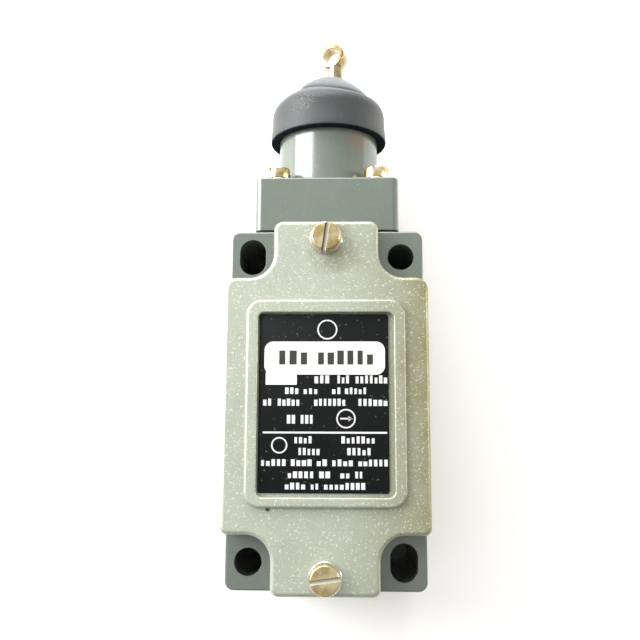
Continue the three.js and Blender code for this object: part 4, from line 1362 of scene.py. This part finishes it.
class KeptPieces(Operator):
    """Gives every piece that keeps its own shape the finish of its material slot"""

    bl_idname = "limit_switch.kept"
    bl_label = "Inner pieces"

    def execute(self, context):
        for part in frame["record"]["subparts"]:
            obj = frame["nodes"][part["node"]]
            if obj.hide_render:
                continue
            obj.data.materials.clear()
            obj.data.materials.append(SLOT_FINISHES[part["material_slot"]]())
        return {"FINISHED"}


# -------- stage

CAMERA_PLACE = (3.67, -8.02, 191.65)
CAMERA_TILT = 0.1556
CAMERA_TURN = -0.0306
CAMERA_ROLL = -0.0009
CAMERA_LENS = 45.4
CAMERA_SENSOR = 36.0
CAMERA_NEAR = 0.005
FLOOR_SIZE = 3.0
FLOOR_GAP = 0.05
# The strength of the floor's painted glow, which lifts the switch's shadow.
FLOOR_PAINTED_GLOW = 0.12

# Each lamp: its name, its direction from the switch, its distance and sides in metres, its power and
# its colour.
LAMPS = (
    ("window", (-0.81, 0.35, 0.48), 0.55, (0.34, 0.42), 5.0, (1.0, 1.0, 1.0)),
    ("top_window", (-0.15, 0.93, 0.40), 0.60, (0.50, 0.22), 3.3, (1.0, 1.0, 1.0)),
    ("warm_wall", (0.93, 0.10, 0.30), 0.60, (0.10, 0.40), 1.6, (1.0, 0.93, 0.80)),
)
LAMP_CENTRE_Y = 20  # how far up the switch the lamps point
WORLD_LEAN = (-0.50, 0.75, 0.40)
WORLD_SPAN = 0.8
WORLD_DIM = (0.16, 0.155, 0.14, 1)
WORLD_BRIGHT = (1.0, 1.0, 1.0, 1)


def camera_matrix():
    """The camera looks down on the switch, a little towards its head."""
    forward = Vector((0, math.sin(CAMERA_TILT), -math.cos(CAMERA_TILT)))
    up = Vector((0, math.cos(CAMERA_TILT), math.sin(CAMERA_TILT)))
    right = Vector((1, 0, 0))
    turned_forward = forward * math.cos(CAMERA_TURN) + right * math.sin(CAMERA_TURN)
    turned_right = right * math.cos(CAMERA_TURN) - forward * math.sin(CAMERA_TURN)
    rolled_right = turned_right * math.cos(CAMERA_ROLL) + up * math.sin(CAMERA_ROLL)
    rolled_up = up * math.cos(CAMERA_ROLL) - turned_right * math.sin(CAMERA_ROLL)
    axes = Matrix((rolled_right, rolled_up, -turned_forward)).transposed().to_4x4()
    return Matrix.Translation(Vector(CAMERA_PLACE) * MM) @ axes


def stage_world():
    """A studio that is bright overhead on the left and dimmer low down and on the right."""
    world = bpy.data.worlds.new("Studio")
    world.use_nodes = True
    nodes, links = world.node_tree.nodes, world.node_tree.links
    background = nodes["Background"]
    direction = nodes.new("ShaderNodeTexCoord")
    lean = nodes.new("ShaderNodeVectorMath")
    lean.operation = "DOT_PRODUCT"
    lean.inputs[1].default_value = WORLD_LEAN
    links.new(direction.outputs["Generated"], lean.inputs[0])
    ramp = nodes.new("ShaderNodeValToRGB")
    ramp.color_ramp.elements[0].color = WORLD_DIM
    ramp.color_ramp.elements[1].color = WORLD_BRIGHT
    span = nodes.new("ShaderNodeMapRange")
    span.inputs["From Min"].default_value = -WORLD_SPAN
    span.inputs["From Max"].default_value = WORLD_SPAN
    links.new(lean.outputs["Value"], span.inputs["Value"])
    links.new(span.outputs["Result"], ramp.inputs["Fac"])
    links.new(ramp.outputs["Color"], background.inputs["Color"])
    background.inputs["Strength"].default_value = 1.0
    bpy.context.scene.world = world


def floor_material():
    """A white table with a faint warm painted glow, like a backlit sweep, which lifts the switch's shadow
    on it, except under the switch.
    """
    finish = Finish("White table", blotch=6, grain=400, speck=300, speck_start=0.8)
    # A painted warm glow lifts the switch's shadow on the table; it is kept off under the switch so the
    # holes stay dark.
    finish.set(emission_color=(1.0, 0.97, 0.90, 1.0))
    beside = finish.math("ABSOLUTE", finish.across("X"), 0.0)
    beyond = finish.math("ABSOLUTE", finish.across("Y"), 0.0)
    clear_x = finish.ranged(beside, 0.0, FLOOR_PAINTED_GLOW, HOUSING_HIGH.x * MM, COVER_HIGH.x * MM)
    clear_y = finish.ranged(beyond, 0.0, FLOOR_PAINTED_GLOW, HOUSING_HIGH.y * MM, (HOUSING_HIGH.y + 1) * MM)
    painted_glow = finish.math("MAXIMUM", clear_x, clear_y)
    finish.feed("Emission Strength", painted_glow)
    finish.between(finish.blotches, (0.93, 0.925, 0.91), (0.95, 0.95, 0.94))
    return finish.done(finish.ranged(finish.grain, 0.75, 0.85))


class StagePieces(Operator):
    """Sets up the white floor, the lamps and the camera"""

    bl_idname = "limit_switch.stage"
    bl_label = "Stage"

    def execute(self, context):
        scene = context.scene
        floor = bmesh.new()
        bmesh.ops.create_grid(floor, x_segments=1, y_segments=1, size=FLOOR_SIZE / 2)
        moved(floor, z=-FLOOR_GAP * MM)
        mesh = bpy.data.meshes.new("floor")
        floor.to_mesh(mesh)
        floor.free()
        mesh.materials.append(floor_material())
        obj = bpy.data.objects.new("floor", mesh)
        scene.collection.objects.link(obj)
        centre = Vector((0, LAMP_CENTRE_Y * MM, AXIS_Z * MM))
        for name, direction, away, sides, power, colour in LAMPS:
            light = bpy.data.lights.new(name, "AREA")
            light.shape = "RECTANGLE"
            light.size, light.size_y = sides
            light.energy = power
            light.color = colour
            holder = bpy.data.objects.new(name, light)
            towards = Vector(direction).normalized()
            holder.location = centre + towards * away
            holder.rotation_euler = (-towards).to_track_quat("-Z", "Y").to_euler()
            scene.collection.objects.link(holder)
        camera = bpy.data.cameras.new("camera")
        camera.lens = CAMERA_LENS
        camera.sensor_width = CAMERA_SENSOR
        camera.clip_start = CAMERA_NEAR
        holder = bpy.data.objects.new("camera", camera)
        holder.matrix_world = camera_matrix()
        scene.collection.objects.link(holder)
        scene.camera = holder
        scene.view_settings.view_transform = "Standard"
        stage_world()
        return {"FINISHED"}


# -------- panel and registration


class SwitchPanel(Panel):
    """Lists the switch's pieces with the sizes and colours that can be changed"""

    bl_idname = "VIEW3D_PT_limit_switch"
    bl_label = "Limit switch"
    bl_space_type = "VIEW_3D"
    bl_region_type = "UI"
    bl_category = "Limit switch"

    def draw(self, context):
        for settings in (context.scene.limit_switch_sizes, context.scene.limit_switch_colours):
            box = self.layout.box()
            for name in settings.__annotations__:
                box.prop(settings, name)
        for operator in OPERATORS:
            self.layout.operator(operator.bl_idname)


OPERATORS = (CasingPieces, PlatePieces, FastenerPieces, HeadPieces, RodPieces, KeptPieces, StagePieces)
CLASSES = (SwitchSizes, SwitchColours, *OPERATORS, SwitchPanel)


def register():
    for cls in CLASSES:
        bpy.utils.register_class(cls)
    bpy.types.Scene.limit_switch_sizes = PointerProperty(type=SwitchSizes)
    bpy.types.Scene.limit_switch_colours = PointerProperty(type=SwitchColours)


def unregister():
    del bpy.types.Scene.limit_switch_colours
    del bpy.types.Scene.limit_switch_sizes
    for cls in reversed(CLASSES):
        bpy.utils.unregister_class(cls)


def main():
    register()
    bpy.ops.limit_switch.casing()
    bpy.ops.limit_switch.plate()
    bpy.ops.limit_switch.fasteners()
    bpy.ops.limit_switch.head()
    bpy.ops.limit_switch.rod()
    bpy.ops.limit_switch.kept()
    bpy.ops.limit_switch.stage()


if __name__ == "__main__":
    main()
